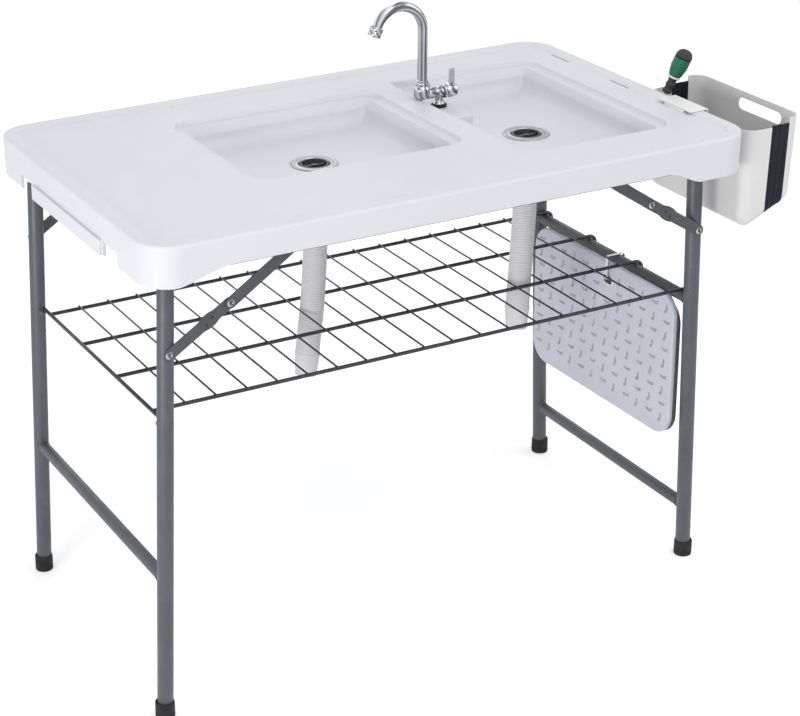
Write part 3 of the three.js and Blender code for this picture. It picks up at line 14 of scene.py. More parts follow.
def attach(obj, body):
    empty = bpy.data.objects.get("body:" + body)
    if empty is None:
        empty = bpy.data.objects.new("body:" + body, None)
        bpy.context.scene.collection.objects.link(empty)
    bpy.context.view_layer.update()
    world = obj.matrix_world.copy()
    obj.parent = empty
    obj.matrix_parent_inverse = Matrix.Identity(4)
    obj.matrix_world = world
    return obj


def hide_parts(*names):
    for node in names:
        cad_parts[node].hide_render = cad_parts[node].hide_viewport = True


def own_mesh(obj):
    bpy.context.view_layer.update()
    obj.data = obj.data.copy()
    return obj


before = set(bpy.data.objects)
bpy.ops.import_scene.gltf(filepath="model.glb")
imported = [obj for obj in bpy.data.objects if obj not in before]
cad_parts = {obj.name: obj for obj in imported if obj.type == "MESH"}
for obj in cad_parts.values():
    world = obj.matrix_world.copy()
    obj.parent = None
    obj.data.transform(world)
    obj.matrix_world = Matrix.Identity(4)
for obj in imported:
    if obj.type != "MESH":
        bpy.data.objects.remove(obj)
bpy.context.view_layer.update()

LOG = logging.getLogger("fish_cleaning_table")
MM = 0.001
FULL_TURN = 2 * math.pi
QUARTER_TURN = math.pi / 2
WHITE = (1.0, 1.0, 1.0, 1.0)
PIVOT_X, PIVOT_Z, SPLAY = 523.0, 826.0, 31.5

Colour = tuple[float, float, float]
Pair = tuple[float, float]
Point = tuple[float, float, float]
Mesh = bmesh.types.BMesh
Vert = bmesh.types.BMVert
Tree = bpy.types.NodeTree
Socket = bpy.types.NodeSocket

DRAINS: dict[str, Pair] = {"left": (-84.0, 48.0), "right": (331.0, 2.0)}


class Cut(Enum):
    """How one solid meets another."""

    AWAY = "DIFFERENCE"
    ONTO = "UNION"
    WITHIN = "INTERSECT"


class Grain(Enum):
    """The direction in which a finish's grain is drawn out."""

    EVEN = (1.0, 1.0, 1.0)
    ALONG_X = (0.06, 1.0, 1.0)
    ALONG_Y = (1.0, 0.06, 1.0)
    ALONG_Z = (1.0, 1.0, 0.06)


def add_node(
    tree: Tree, kind: str, inputs: dict[str | int, object] | None = None, **settings: object
) -> bpy.types.Node:
    """Adds a shader node.

    Args:
        tree: The nodes to add it to.
        kind: Its type, without the word ShaderNode.
        inputs: What its inputs get: a socket, which is linked to the input, or else a value.
        settings: Its other settings.

    Returns:
        The node.
    """
    node = tree.nodes.new(f"ShaderNode{kind}")
    for name, setting in settings.items():
        setattr(node, name, setting)
    for name, given in (inputs or {}).items():
        if isinstance(given, Socket):
            tree.links.new(given, node.inputs[name])
        else:
            node.inputs[name].default_value = given
    return node


def clear_tree(owner: bpy.types.Material | bpy.types.World) -> Tree:
    """Empties the nodes of a material or a world.

    Args:
        owner: The material or world.

    Returns:
        Its empty nodes.
    """
    owner.use_nodes = True
    owner.node_tree.nodes.clear()
    return owner.node_tree


def add_object(name: str, data: bpy.types.ID) -> bpy.types.Object:
    """Adds an object to the scene.

    Args:
        name: Its name.
        data: Its mesh, lamp or camera.

    Returns:
        The object.
    """
    made = bpy.data.objects.new(name, data)
    bpy.context.scene.collection.objects.link(made)
    return made


@dataclass(frozen=True)
class Finish:
    """One surface finish, with colour drift, uneven gloss, fine grain, wear and, on metals, painted
    reflection bands.
    """

    name: str
    colour: Colour
    tint: Colour
    gloss: Pair
    metallic: float = 0.0
    drift: float = 7.0
    grain: float = 900.0
    depth: float = 0.00006
    direction: Grain = Grain.EVEN
    worn: Colour = (0.5, 0.5, 0.5)
    wear: float = 0.0
    wear_scale: float = 60.0
    coat: float = 0.0
    sheen: float = 0.0
    # painted reflection: pairs of ramp place and grey that band a metal's colour by which way its surface
    # faces
    painted_reflection_bands: tuple[Pair, ...] = ()
    specular: float = 0.5

    def material(self) -> bpy.types.Material:
        """Makes the node material once and hands it out again later.

        Returns:
            The procedural material of this finish.
        """
        found = bpy.data.materials.get(self.name)
        if found is not None:
            return found
        material = bpy.data.materials.new(self.name)
        tree = clear_tree(material)
        where = add_node(tree, "TexCoord").outputs["Object"]
        patches = self._noise(tree, where, self.drift, 4.0)
        blend = self._mix(tree, self._spread(tree, patches, (0.32, 0.68)), (*self.colour, 1.0), self.tint)
        if self.wear > 0:
            rubbed = self._noise(tree, where, self.wear_scale, 6.0)
            mask = self._spread(tree, rubbed, (1 - self.wear, 1 - self.wear + 0.06))
            blend = self._mix(tree, mask, blend, self.worn)
        # metals get painted reflection bands multiplied into their colour
        if self.painted_reflection_bands:
            blend = self._painted_reflection(tree, blend)
        smears = self._noise(tree, where, self.drift * 4, 5.0)
        shader = add_node(tree, "BsdfPrincipled", {
            "Base Color": blend, "Metallic": self.metallic, "Specular IOR Level": self.specular,
            "Coat Weight": self.coat, "Sheen Weight": self.sheen,
            "Roughness": self._spread(tree, smears, (0.3, 0.7), self.gloss),
            "Normal": self._bump(tree, where),
        })
        add_node(tree, "OutputMaterial", {"Surface": shader.outputs[0]})
        return material

    def _noise(self, tree: Tree, where: Socket, scale: float, detail: float) -> Socket:
        """Adds a noise texture of a scale in features per metre and a number of octaves."""
        return add_node(tree, "TexNoise", {"Vector": where, "Scale": scale, "Detail": detail}).outputs[0]

    def _spread(self, tree: Tree, value: Socket, source: Pair, target: Pair = (0.0, 1.0)) -> Socket:
        """Stretches a part of a value's range to a new range.

        Args:
            tree: The material's nodes.
            value: The value to stretch.
            source: The values that become the ends of the target.
            target: The lowest and highest result.

        Returns:
            The socket that carries the result.
        """
        names = ("From Min", "From Max", "To Min", "To Max")
        inputs = {"Value": value, **dict(zip(names, source + target))}
        return add_node(tree, "MapRange", inputs).outputs[0]

    def _mix(self, tree: Tree, share: Socket, first: Socket | tuple[float, ...], second: Colour) -> Socket:
        """Mixes a colour, or the socket that carries one, with a second colour by a share."""
        inputs = {0: share, 6: first, 7: (*second, 1.0)}
        return add_node(tree, "Mix", inputs, data_type="RGBA").outputs[2]

    def _painted_reflection(self, tree: Tree, colour: Socket) -> Socket:
        """Multiplies painted reflection into the colour: grey bands that follow how the surface faces one
        fixed direction, standing in for what polished metal reflects.

        Args:
            tree: The material's nodes.
            colour: The colour to paint the reflection bands into.

        Returns:
            The socket that carries the colour with its painted reflection.
        """
        normal = add_node(tree, "TexCoord").outputs["Normal"]
        # the grey of the painted reflection follows how far the surface faces one fixed direction
        turned = add_node(tree, "VectorMath", {0: normal, 1: (0.83, -0.40, 0.38)}, operation="DOT_PRODUCT")
        level = self._spread(tree, turned.outputs["Value"], (-1.0, 1.0))
        ramp = add_node(tree, "ValToRGB", {0: level})
        ramp.color_ramp.interpolation = "EASE"
        line = ramp.color_ramp.elements
        while len(line) < len(self.painted_reflection_bands):
            line.new(0.5)
        for element, (place, grey) in zip(line, self.painted_reflection_bands):
            element.position = place
            element.color = (grey, grey, grey, 1.0)
        inputs = {0: 1.0, 6: colour, 7: ramp.outputs[0]}
        return add_node(tree, "Mix", inputs, data_type="RGBA", blend_type="MULTIPLY").outputs[2]

    def _bump(self, tree: Tree, where: Socket) -> Socket:
        """Adds the fine grain as a bump.

        Args:
            tree: The material's nodes.
            where: The coordinates it reads.

        Returns:
            The socket that carries the bent normal.
        """
        drawn = add_node(tree, "Mapping", {"Vector": where, "Scale": self.direction.value}).outputs[0]
        fine = self._noise(tree, drawn, self.grain, 3.0)
        inputs = {"Height": fine, "Strength": 0.6, "Distance": self.depth}
        return add_node(tree, "Bump", inputs).outputs[0]


MOULDED_WHITE = Finish(
    "moulded_white", (0.71, 0.72, 0.755), (0.695, 0.705, 0.745), (0.42, 0.48), drift=5.0, grain=1500.0,
    depth=0.00004, worn=(0.685, 0.695, 0.73), wear=0.30, wear_scale=25.0,
)
# The ticks are the top's own plastic; their paler colour is painted highlight on the raised marks.
EMBOSSED_HIGHLIGHT = Finish("embossed_marks_painted_highlight", (0.86, 0.87, 0.90), (0.80, 0.81, 0.85), (0.4, 0.55), grain=1200.0)
CLIP_WHITE = Finish("clip_white", (0.84, 0.84, 0.83), (0.78, 0.78, 0.77), (0.35, 0.5), grain=1100.0)
GREY_COAT = Finish(
    "grey_powder_coat", (0.092, 0.10, 0.115), (0.077, 0.085, 0.098), (0.36, 0.52), metallic=0.1,
    drift=14.0, grain=2200.0, depth=0.00008, worn=(0.15, 0.158, 0.17), wear=0.30, wear_scale=110.0,
)
STAY_COAT = Finish(
    "stay_grey_coat", (0.078, 0.084, 0.095), (0.06, 0.066, 0.076), (0.3, 0.46), metallic=0.25,
    drift=22.0, grain=1900.0, depth=0.00007, worn=(0.3, 0.31, 0.32), wear=0.32, wear_scale=140.0,
)
WIRE_COAT = Finish(
    "wire_dark_coat", (0.042, 0.045, 0.05), (0.03, 0.033, 0.038), (0.22, 0.38), metallic=0.35,
    drift=18.0, grain=1800.0, depth=0.00006, worn=(0.22, 0.23, 0.24), wear=0.30, wear_scale=180.0,
)
CHROME = Finish(
    "polished_chrome", (0.80, 0.81, 0.84), (0.74, 0.75, 0.78), (0.06, 0.16), metallic=1.0,
    drift=30.0, grain=700.0, depth=0.000008,
    # painted reflection: grey bands in the colour that stand in for the chrome's surroundings
    painted_reflection_bands=(
        (0.0, 0.10), (0.12, 0.72), (0.26, 0.95), (0.37, 0.22), (0.47, 0.60), (0.60, 0.98), (0.72, 0.16),
        (0.86, 0.62), (1.0, 0.08),
    ),
)
RIVET_STEEL = Finish(
    "rivet_steel", (0.75, 0.76, 0.78), (0.6, 0.61, 0.63), (0.2, 0.36), metallic=1.0, drift=60.0,
    # painted reflection bands in the rivet heads' colour
    grain=1500.0, depth=0.00003, painted_reflection_bands=((0.0, 0.15), (0.3, 0.9), (0.5, 0.7), (0.7, 0.25), (1.0, 0.6)),
)
STRAINER_BLACK = Finish(
    "strainer_black", (0.02, 0.021, 0.023), (0.035, 0.036, 0.038), (0.28, 0.5), drift=40.0,
    grain=1300.0, worn=(0.12, 0.12, 0.12), wear=0.3, wear_scale=160.0,
)
RUBBER = Finish(
    "black_rubber", (0.012, 0.012, 0.013), (0.022, 0.022, 0.023), (0.55, 0.8), drift=30.0,
    grain=1400.0, depth=0.0001, worn=(0.03, 0.03, 0.03), wear=0.33, wear_scale=90.0, specular=0.25,
)
NUT_PLASTIC = Finish("nut_plastic", (0.72, 0.73, 0.73), (0.66, 0.67, 0.68), (0.4, 0.55), drift=25.0)
HOSE_WHITE = Finish(
    "hose_white", (0.69, 0.68, 0.70), (0.655, 0.645, 0.665), (0.38, 0.55), drift=16.0, grain=1000.0,
    worn=(0.58, 0.58, 0.58), wear=0.3, wear_scale=70.0,
)
BOARD_WHITE = Finish(
    "board_white", (0.585, 0.595, 0.67), (0.55, 0.56, 0.635), (0.36, 0.52), drift=9.0, grain=800.0,
    depth=0.0001, direction=Grain.ALONG_Y, worn=(0.45, 0.465, 0.51), wear=0.3, wear_scale=45.0,
)
BOARD_MARKS = Finish("board_marks", (0.26, 0.275, 0.32), (0.42, 0.44, 0.50), (0.4, 0.6), drift=120.0)
BOARD_DARK = Finish(
    "board_dark", (0.05, 0.055, 0.062), (0.075, 0.08, 0.09), (0.5, 0.7), drift=60.0, grain=420.0,
    depth=0.0004, worn=(0.16, 0.165, 0.175), wear=0.34, wear_scale=220.0,
)
DRAIN_STEEL = Finish(
    "drain_steel", (0.41, 0.415, 0.43), (0.36, 0.365, 0.38), (0.24, 0.36), metallic=1.0, drift=45.0,
    grain=1400.0, depth=0.00002, worn=(0.36, 0.365, 0.375), wear=0.3, wear_scale=120.0,
)
LEVER_STEEL = Finish(
    "lever_steel", (0.60, 0.61, 0.64), (0.54, 0.55, 0.58), (0.18, 0.3), metallic=1.0, drift=40.0,
    grain=1400.0, depth=0.00001,
)
# Painted shade: near-black flat marks that stand for the stays' holes and rivet slots, which are dark only by
# their shade.
HOLE_SHADE = Finish(
    "painted_hole_shade", (0.012, 0.013, 0.015), (0.03, 0.031, 0.034), (0.5, 0.7), drift=160.0, grain=1500.0,
    depth=0.00004,
)
BRIGHT_STEEL = Finish(
    "bright_steel", (0.6, 0.61, 0.62), (0.52, 0.53, 0.54), (0.18, 0.32), metallic=1.0, drift=40.0,
    grain=1200.0, depth=0.00003, direction=Grain.ALONG_Z,
)
BIN_WHITE = Finish(
    "bin_white", (0.75, 0.745, 0.74), (0.725, 0.72, 0.715), (0.32, 0.48), drift=6.0, grain=1200.0,
    worn=(0.74, 0.735, 0.72), wear=0.28, wear_scale=30.0,
)
BIN_SOFT = Finish(
    "bin_soft_band", (0.009, 0.012, 0.019), (0.014, 0.018, 0.027), (0.5, 0.66), drift=20.0,
    grain=1000.0, depth=0.00008, specular=0.16,
)
GRIP_GREEN = Finish(
    "grip_green", (0.004, 0.165, 0.082), (0.006, 0.13, 0.066), (0.4, 0.6), drift=50.0, grain=900.0,
    depth=0.00015,
)
GRIP_BLACK = Finish(
    "grip_black", (0.011, 0.011, 0.012), (0.02, 0.02, 0.021), (0.35, 0.6), drift=60.0, grain=900.0,
    depth=0.0001, specular=0.2,
)


@dataclass(frozen=True)
class Tag:
    """What a finished piece is called, what it rides on and what it stands for."""

    name: str
    body: str
    slot: str
    finish: Finish
    nodes: tuple[str, ...] = ()


def settle(bm: Mesh, tag: Tag, crease: float = 34.0, even: bool = False) -> bpy.types.Object:
    """Turns a mesh in millimetres into a finished piece on its body.

    Args:
        bm: The mesh, which is freed.
        tag: Its name, body, slot, finish and the CAD nodes it stands for.
        crease: The angle in degrees above which an edge stays sharp.
        even: Whether flat faces keep flat shading beside their roundings.

    Returns:
        The piece.
    """
    bmesh.ops.recalc_face_normals(bm, faces=bm.faces)
    bmesh.ops.scale(bm, vec=(MM, MM, MM), verts=bm.verts)
    mesh = bpy.data.meshes.new(tag.name)
    bm.to_mesh(mesh)
    bm.free()
    mesh.polygons.foreach_set("use_smooth", [True] * len(mesh.polygons))
    mesh.set_sharp_from_angle(angle=math.radians(crease))
    mesh.materials.append(tag.finish.material())
    piece = add_object(tag.name, mesh)
    if even:
        weighted = piece.modifiers.new("even_shading", "WEIGHTED_NORMAL")
        weighted.keep_sharp = True
    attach(piece, tag.body)
    if tag.nodes:
        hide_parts(*tag.nodes)
    LOG.info("%s on %s, %d faces", tag.name, tag.body, len(mesh.polygons))
    return piece


def fresh_verts(bm: Mesh, old: set[Vert]) -> list[Vert]:
    """The vertices that the mesh has besides the old ones."""
    return [vert for vert in bm.verts if vert not in old]


def extruded_ring(bm: Mesh, ring: list[Vert]) -> list[Vert]:
    """Extrudes a closed ring of vertices and keeps its order.

    Args:
        bm: The mesh.
        ring: The ring's vertices in order.

    Returns:
        The new ring, in the same order.
    """
    edges = [bm.edges.get(pair) for pair in zip(ring, ring[1:] + ring[:1])]
    made = bmesh.ops.extrude_edge_only(bm, edges=edges)["geom"]
    new = {item for item in made if isinstance(item, Vert)}
    return [next(e.other_vert(v) for e in v.link_edges if e.other_vert(v) in new) for v in ring]


def skin(
    bm: Mesh, first: list[Vert], goals: list, carry: Callable[[list[Vert], object], None], looped: bool
) -> Mesh:
    """Extrudes a ring again and again and closes the skin.

    Args:
        bm: The mesh.
        first: The first ring's vertices in order.
        goals: Where each further ring goes.
        carry: What takes a new ring to its goal.
        looped: Whether the last ring joins the first, instead of both being filled.

    Returns:
        The mesh.
    """
    if not looped:
        bmesh.ops.contextual_create(bm, geom=first)
    ring = first
    for goal in goals:
        ring = extruded_ring(bm, ring)
        carry(ring, goal)
    if looped:
        ends = [bm.edges.get(pair) for one in (first, ring) for pair in zip(one, one[1:] + one[:1])]
        bmesh.ops.bridge_loops(bm, edges=ends)
    else:
        bmesh.ops.contextual_create(bm, geom=ring)
    return bm


def loft(bm: Mesh, rings: list[list[Vector]], looped: bool = False) -> Mesh:
    """Draws a closed skin over rings of equal count.

    Args:
        bm: The mesh to add it to.
        rings: The rings' points, in order.
        looped: Whether the last ring joins the first, instead of both being filled.

    Returns:
        The mesh.
    """
    first = [bm.verts.new(point) for point in rings[0]]
    for pair in zip(first, first[1:] + first[:1]):
        bm.edges.new(pair)

    def carry(ring: list[Vert], points: list[Vector]) -> None:
        """Moves a ring's vertices to its points."""
        for vert, point in zip(ring, points):
            vert.co = point

    return skin(bm, first, rings[1:], carry, looped)


def circle_at(point: Vector, turn: Matrix, radius: float) -> Matrix:
    """The place of a unit circle that is drawn at a point with a turn and a radius."""
    return Matrix.Translation(point) @ turn @ Matrix.Diagonal((radius, radius, 1.0, 1.0))


def stations(points: list[Vector], radii: list[float]) -> list[Matrix]:
    """Places a unit circle square across a line at each of its points.

    Args:
        points: The line's points.
        radii: The circle's radius at each point.

    Returns:
        One matrix for each point.
    """
    count = len(points)
    ways = []
    for i in range(count):
        before, after = points[max(i - 1, 0)], points[min(i + 1, count - 1)]
        ways.append((after - before).normalized() if (after - before).length > 1e-9 else ways[-1])
    side = ways[0].orthogonal().normalized()
    placed = []
    for i, (point, way, radius) in enumerate(zip(points, ways, radii)):
        if i:
            side.rotate(ways[i - 1].rotation_difference(way))
        side = (side - way * side.dot(way)).normalized()
        turn = Matrix((side, way.cross(side), way)).transposed().to_4x4()
        placed.append(circle_at(point, turn, radius))
    return placed


def sweep(bm: Mesh, placed: list[Matrix], sides: int, looped: bool = False) -> Mesh:
    """Draws a round skin through placed circles.

    Args:
        bm: The mesh to add it to.
        placed: The circles' matrices.
        sides: The circle's sides.
        looped: Whether the last circle joins the first, instead of both being filled.

    Returns:
        The mesh.
    """
    first = list(bmesh.ops.create_circle(bm, cap_ends=False, radius=1.0, segments=sides)["verts"])
    bmesh.ops.transform(bm, matrix=placed[0], verts=first)
    moves = [after @ before.inverted() for before, after in zip(placed, placed[1:])]

    def carry(ring: list[Vert], move: Matrix) -> None:
        """Moves a ring from the last circle's place to its own."""
        bmesh.ops.transform(bm, matrix=move, verts=ring)

    return skin(bm, first, moves, carry, looped)


def rod(bm: Mesh, start: Vector, end: Vector, radius: float, sides: int, dome: float = 0.8) -> Mesh:
    """Draws a straight round bar with softened ends.

    Args:
        bm: The mesh to add it to.
        start: The middle of one end.
        end: The middle of the other end.
        radius: The bar's radius.
        sides: Its sides.
        dome: How far the ends are rounded.

    Returns:
        The mesh.
    """
    along = (end - start).normalized()
    soft = min(dome, radius * 0.9)
    steps = [(0.0, soft), (soft * 0.3, soft * 0.3), (soft, 0.0)]
    points = [start + along * lift for lift, _ in steps] + [end - along * lift for lift, _ in steps[::-1]]
    radii = [radius - loss for _, loss in steps] + [radius - loss for _, loss in steps[::-1]]
    turn = stations([start, end], [1.0, 1.0])[0].to_3x3().to_4x4()
    return sweep(bm, [circle_at(point, turn, wide) for point, wide in zip(points, radii)], sides)


def eased(profile: list[Pair], radius: float, steps: int = 4) -> list[Pair]:
    """Rounds the inner corners of an open profile.

    Args:
        profile: The profile's corners.
        radius: How far before and after a corner its rounding starts.
        steps: The rounding's steps.

    Returns:
        The profile with rounded corners.
    """
    points = [Vector(p) for p in profile]
    out = [points[0]]
    for before, corner, after in zip(points, points[1:], points[2:]):
        reach_in = min(radius, (before - corner).length * 0.45)
        reach_out = min(radius, (after - corner).length * 0.45)
        start = corner + (before - corner).normalized() * reach_in
        end = corner + (after - corner).normalized() * reach_out
        for step in range(steps + 1):
            t = step / steps
            out.append(start * (1 - t) ** 2 + corner * (2 * t * (1 - t)) + end * t * t)
    out.append(points[-1])
    return [(p.x, p.y) for p in out]


def lathe(bm: Mesh, profile: list[Pair], place: Matrix, sides: int = 48, ring: bool = False) -> Mesh:
    """Spins a profile of radius and height round an axis.

    Args:
        bm: The mesh to add it to.
        profile: Its pairs of radius and height.
        place: Where the axis stands.
        sides: The steps of the full turn.
        ring: Whether the profile closes on itself.

    Returns:
        The mesh.
    """
    old = set(bm.verts)
    line = [bm.verts.new((radius, 0.0, height)) for radius, height in profile]
    ends = line[1:] + line[:1] if ring else line[1:]
    edges = [bm.edges.new(pair) for pair in zip(line, ends)]
    bmesh.ops.spin(
        bm, geom=line + edges, cent=(0, 0, 0), axis=(0, 0, 1), dvec=(0, 0, 0), angle=FULL_TURN,
        steps=sides, use_merge=True, use_duplicate=False,
    )
    bmesh.ops.remove_doubles(bm, verts=fresh_verts(bm, old), dist=0.0001)
    bmesh.ops.transform(bm, matrix=place, verts=fresh_verts(bm, old))
    return bm


def round_edges(bm: Mesh, edges: list[bmesh.types.BMEdge], width: float, segments: int) -> Mesh:
    """Rounds edges.

    Args:
        bm: The mesh.
        edges: The edges.
        width: The width of the rounding.
        segments: The rounding's steps.

    Returns:
        The mesh.
    """
    bmesh.ops.bevel(
        bm, geom=edges, offset=width, offset_type="OFFSET", segments=segments, profile=0.5,
        affect="EDGES", material=-1, clamp_overlap=True,
    )
    return bm


def block(bm: Mesh, low: Point, high: Point, soft: float = 0.0, segments: int = 3) -> Mesh:
    """Draws a block between two corners, with softened edges where asked.

    Args:
        bm: The mesh to add it to.
        low: The lowest corner.
        high: The highest corner.
        soft: The width of its edge rounding.
        segments: The rounding's steps.

    Returns:
        The mesh.
    """
    size = Vector(high) - Vector(low)
    middle = (Vector(high) + Vector(low)) / 2
    place = Matrix.Translation(middle) @ Matrix.Diagonal((*size, 1.0))
    verts = bmesh.ops.create_cube(bm, size=1.0, matrix=place)["verts"]
    if soft > 0:
        round_edges(bm, list({edge for vert in verts for edge in vert.link_edges}), soft, segments)
    return bm


def soften(bm: Mesh, width: float, angle: float = 40.0, segments: int = 2) -> Mesh:
    """Rounds every edge that is sharper than an angle.

    Args:
        bm: The mesh.
        width: The width of the rounding.
        angle: The angle in degrees above which an edge is rounded.
        segments: The rounding's steps.

    Returns:
        The mesh.
    """
    limit = math.radians(angle)
    edges = [e for e in bm.edges if len(e.link_faces) == 2 and e.calc_face_angle(0.0) > limit]
    return round_edges(bm, edges, width, segments)


def worked(base: Mesh, steps: list[tuple[Cut, Mesh]]) -> Mesh:
    """Joins solids onto a base solid and carves others from it, in order.

    Args:
        base: The solid to start from, which is freed.
        steps: How each other solid meets it, and that solid, which is freed too.

    Returns:
        The worked solid.
    """
    holders = []
    for bm in [base] + [solid for _, solid in steps]:
        bmesh.ops.recalc_face_normals(bm, faces=bm.faces)
        mesh = bpy.data.meshes.new("rough")
        bm.to_mesh(mesh)
        bm.free()
        holders.append(add_object("rough", mesh))
    for (cut, _), holder in zip(steps, holders[1:]):
        modifier = holders[0].modifiers.new("work", "BOOLEAN")
        modifier.operation = cut.value
        modifier.solver = "EXACT"
        modifier.object = holder
    bpy.context.view_layer.update()
    graph = bpy.context.evaluated_depsgraph_get()
    mesh = bpy.data.meshes.new_from_object(holders[0].evaluated_get(graph))
    result = bmesh.new()
    result.from_mesh(mesh)
    bpy.data.meshes.remove(mesh)
    for holder in holders:
        old = holder.data
        bpy.data.objects.remove(holder)
        bpy.data.meshes.remove(old)
    return result


@dataclass(frozen=True)
class Plan:
    """A rounded rectangle seen from above."""

    min_x: float
    max_x: float
    min_y: float
    max_y: float
    corner: float
    steps: int = 10

    def ring(self, inset: float, height: float) -> list[Vector]:
        """The outline drawn inwards by an inset, at a height.

        Args:
            inset: How far inside the outline it runs; below zero it runs outside.
            height: Its height.

        Returns:
            The ring's points, turning left from the +X side.
        """
        corner = max(self.corner - inset, self.corner * 0.02)
        inner_x = (self.max_x - inset - corner, self.min_x + inset + corner)
        inner_y = (self.max_y - inset - corner, self.min_y + inset + corner)
        centres = (
            (inner_x[0], inner_y[0]), (inner_x[1], inner_y[0]),
            (inner_x[1], inner_y[1]), (inner_x[0], inner_y[1]),
        )
        points = []
        for quarter, (x, y) in enumerate(centres):
            for step in range(self.steps + 1):
                angle = (quarter + step / self.steps) * QUARTER_TURN
                points.append(Vector((x + corner * math.cos(angle), y + corner * math.sin(angle), height)))
        return points

    def standing(self, inset: float, x: float) -> list[Vector]:
        """The outline drawn inwards and stood upright across X, with its X as Y and its Y as Z."""
        return [Vector((x, p.x, p.y)) for p in self.ring(inset, 0.0)]


def stacked(plan: Plan, profile: list[Pair]) -> list[list[Vector]]:
    """The rings of a plan for pairs of inset and height."""
    return [plan.ring(inset, height) for inset, height in profile]


def solid_of(rings: list[list[Vector]]) -> Mesh:
    """A new closed solid lofted over rings."""
    return loft(bmesh.new(), rings)


def box_of(low: Point, high: Point, soft: float = 0.0, segments: int = 3) -> Mesh:
    """A new block between two corners."""
    return block(bmesh.new(), low, high, soft, segments)


def bar_of(start: Point, end: Point, radius: float, sides: int = 48, dome: float = 0.01) -> Mesh:
    """A new round bar between two points."""
    return rod(bmesh.new(), Vector(start), Vector(end), radius, sides, dome)


def turned(profile: list[Pair], place: Matrix, sides: int = 48, ring: bool = False) -> Mesh:
    """A new solid spun round an axis."""
    return lathe(bmesh.new(), profile, place, sides, ring)


def between(start: Pair, end: Pair, share: float, drop: float = 0.0) -> Pair:
    """A point part of the way from one pair to another, raised by the drop."""
    return (start[0] + (end[0] - start[0]) * share, start[1] + (end[1] - start[1]) * share + drop)


def leg_x(z: float) -> float:
    """How far from the middle a leg's axis is at a height."""
    return PIVOT_X + (PIVOT_Z - z) * SPLAY / PIVOT_Z


def upright(x: float, y: float, z: float = 0.0) -> Matrix:
    """An upright axis through a point."""
    return Matrix.Translation((x, y, z))


def facing(point: Vector, way: Vector) -> Matrix:
    """An axis through a point along a direction."""
    return Matrix.Translation(point) @ Vector((0, 0, 1)).rotation_difference(way).to_matrix().to_4x4()


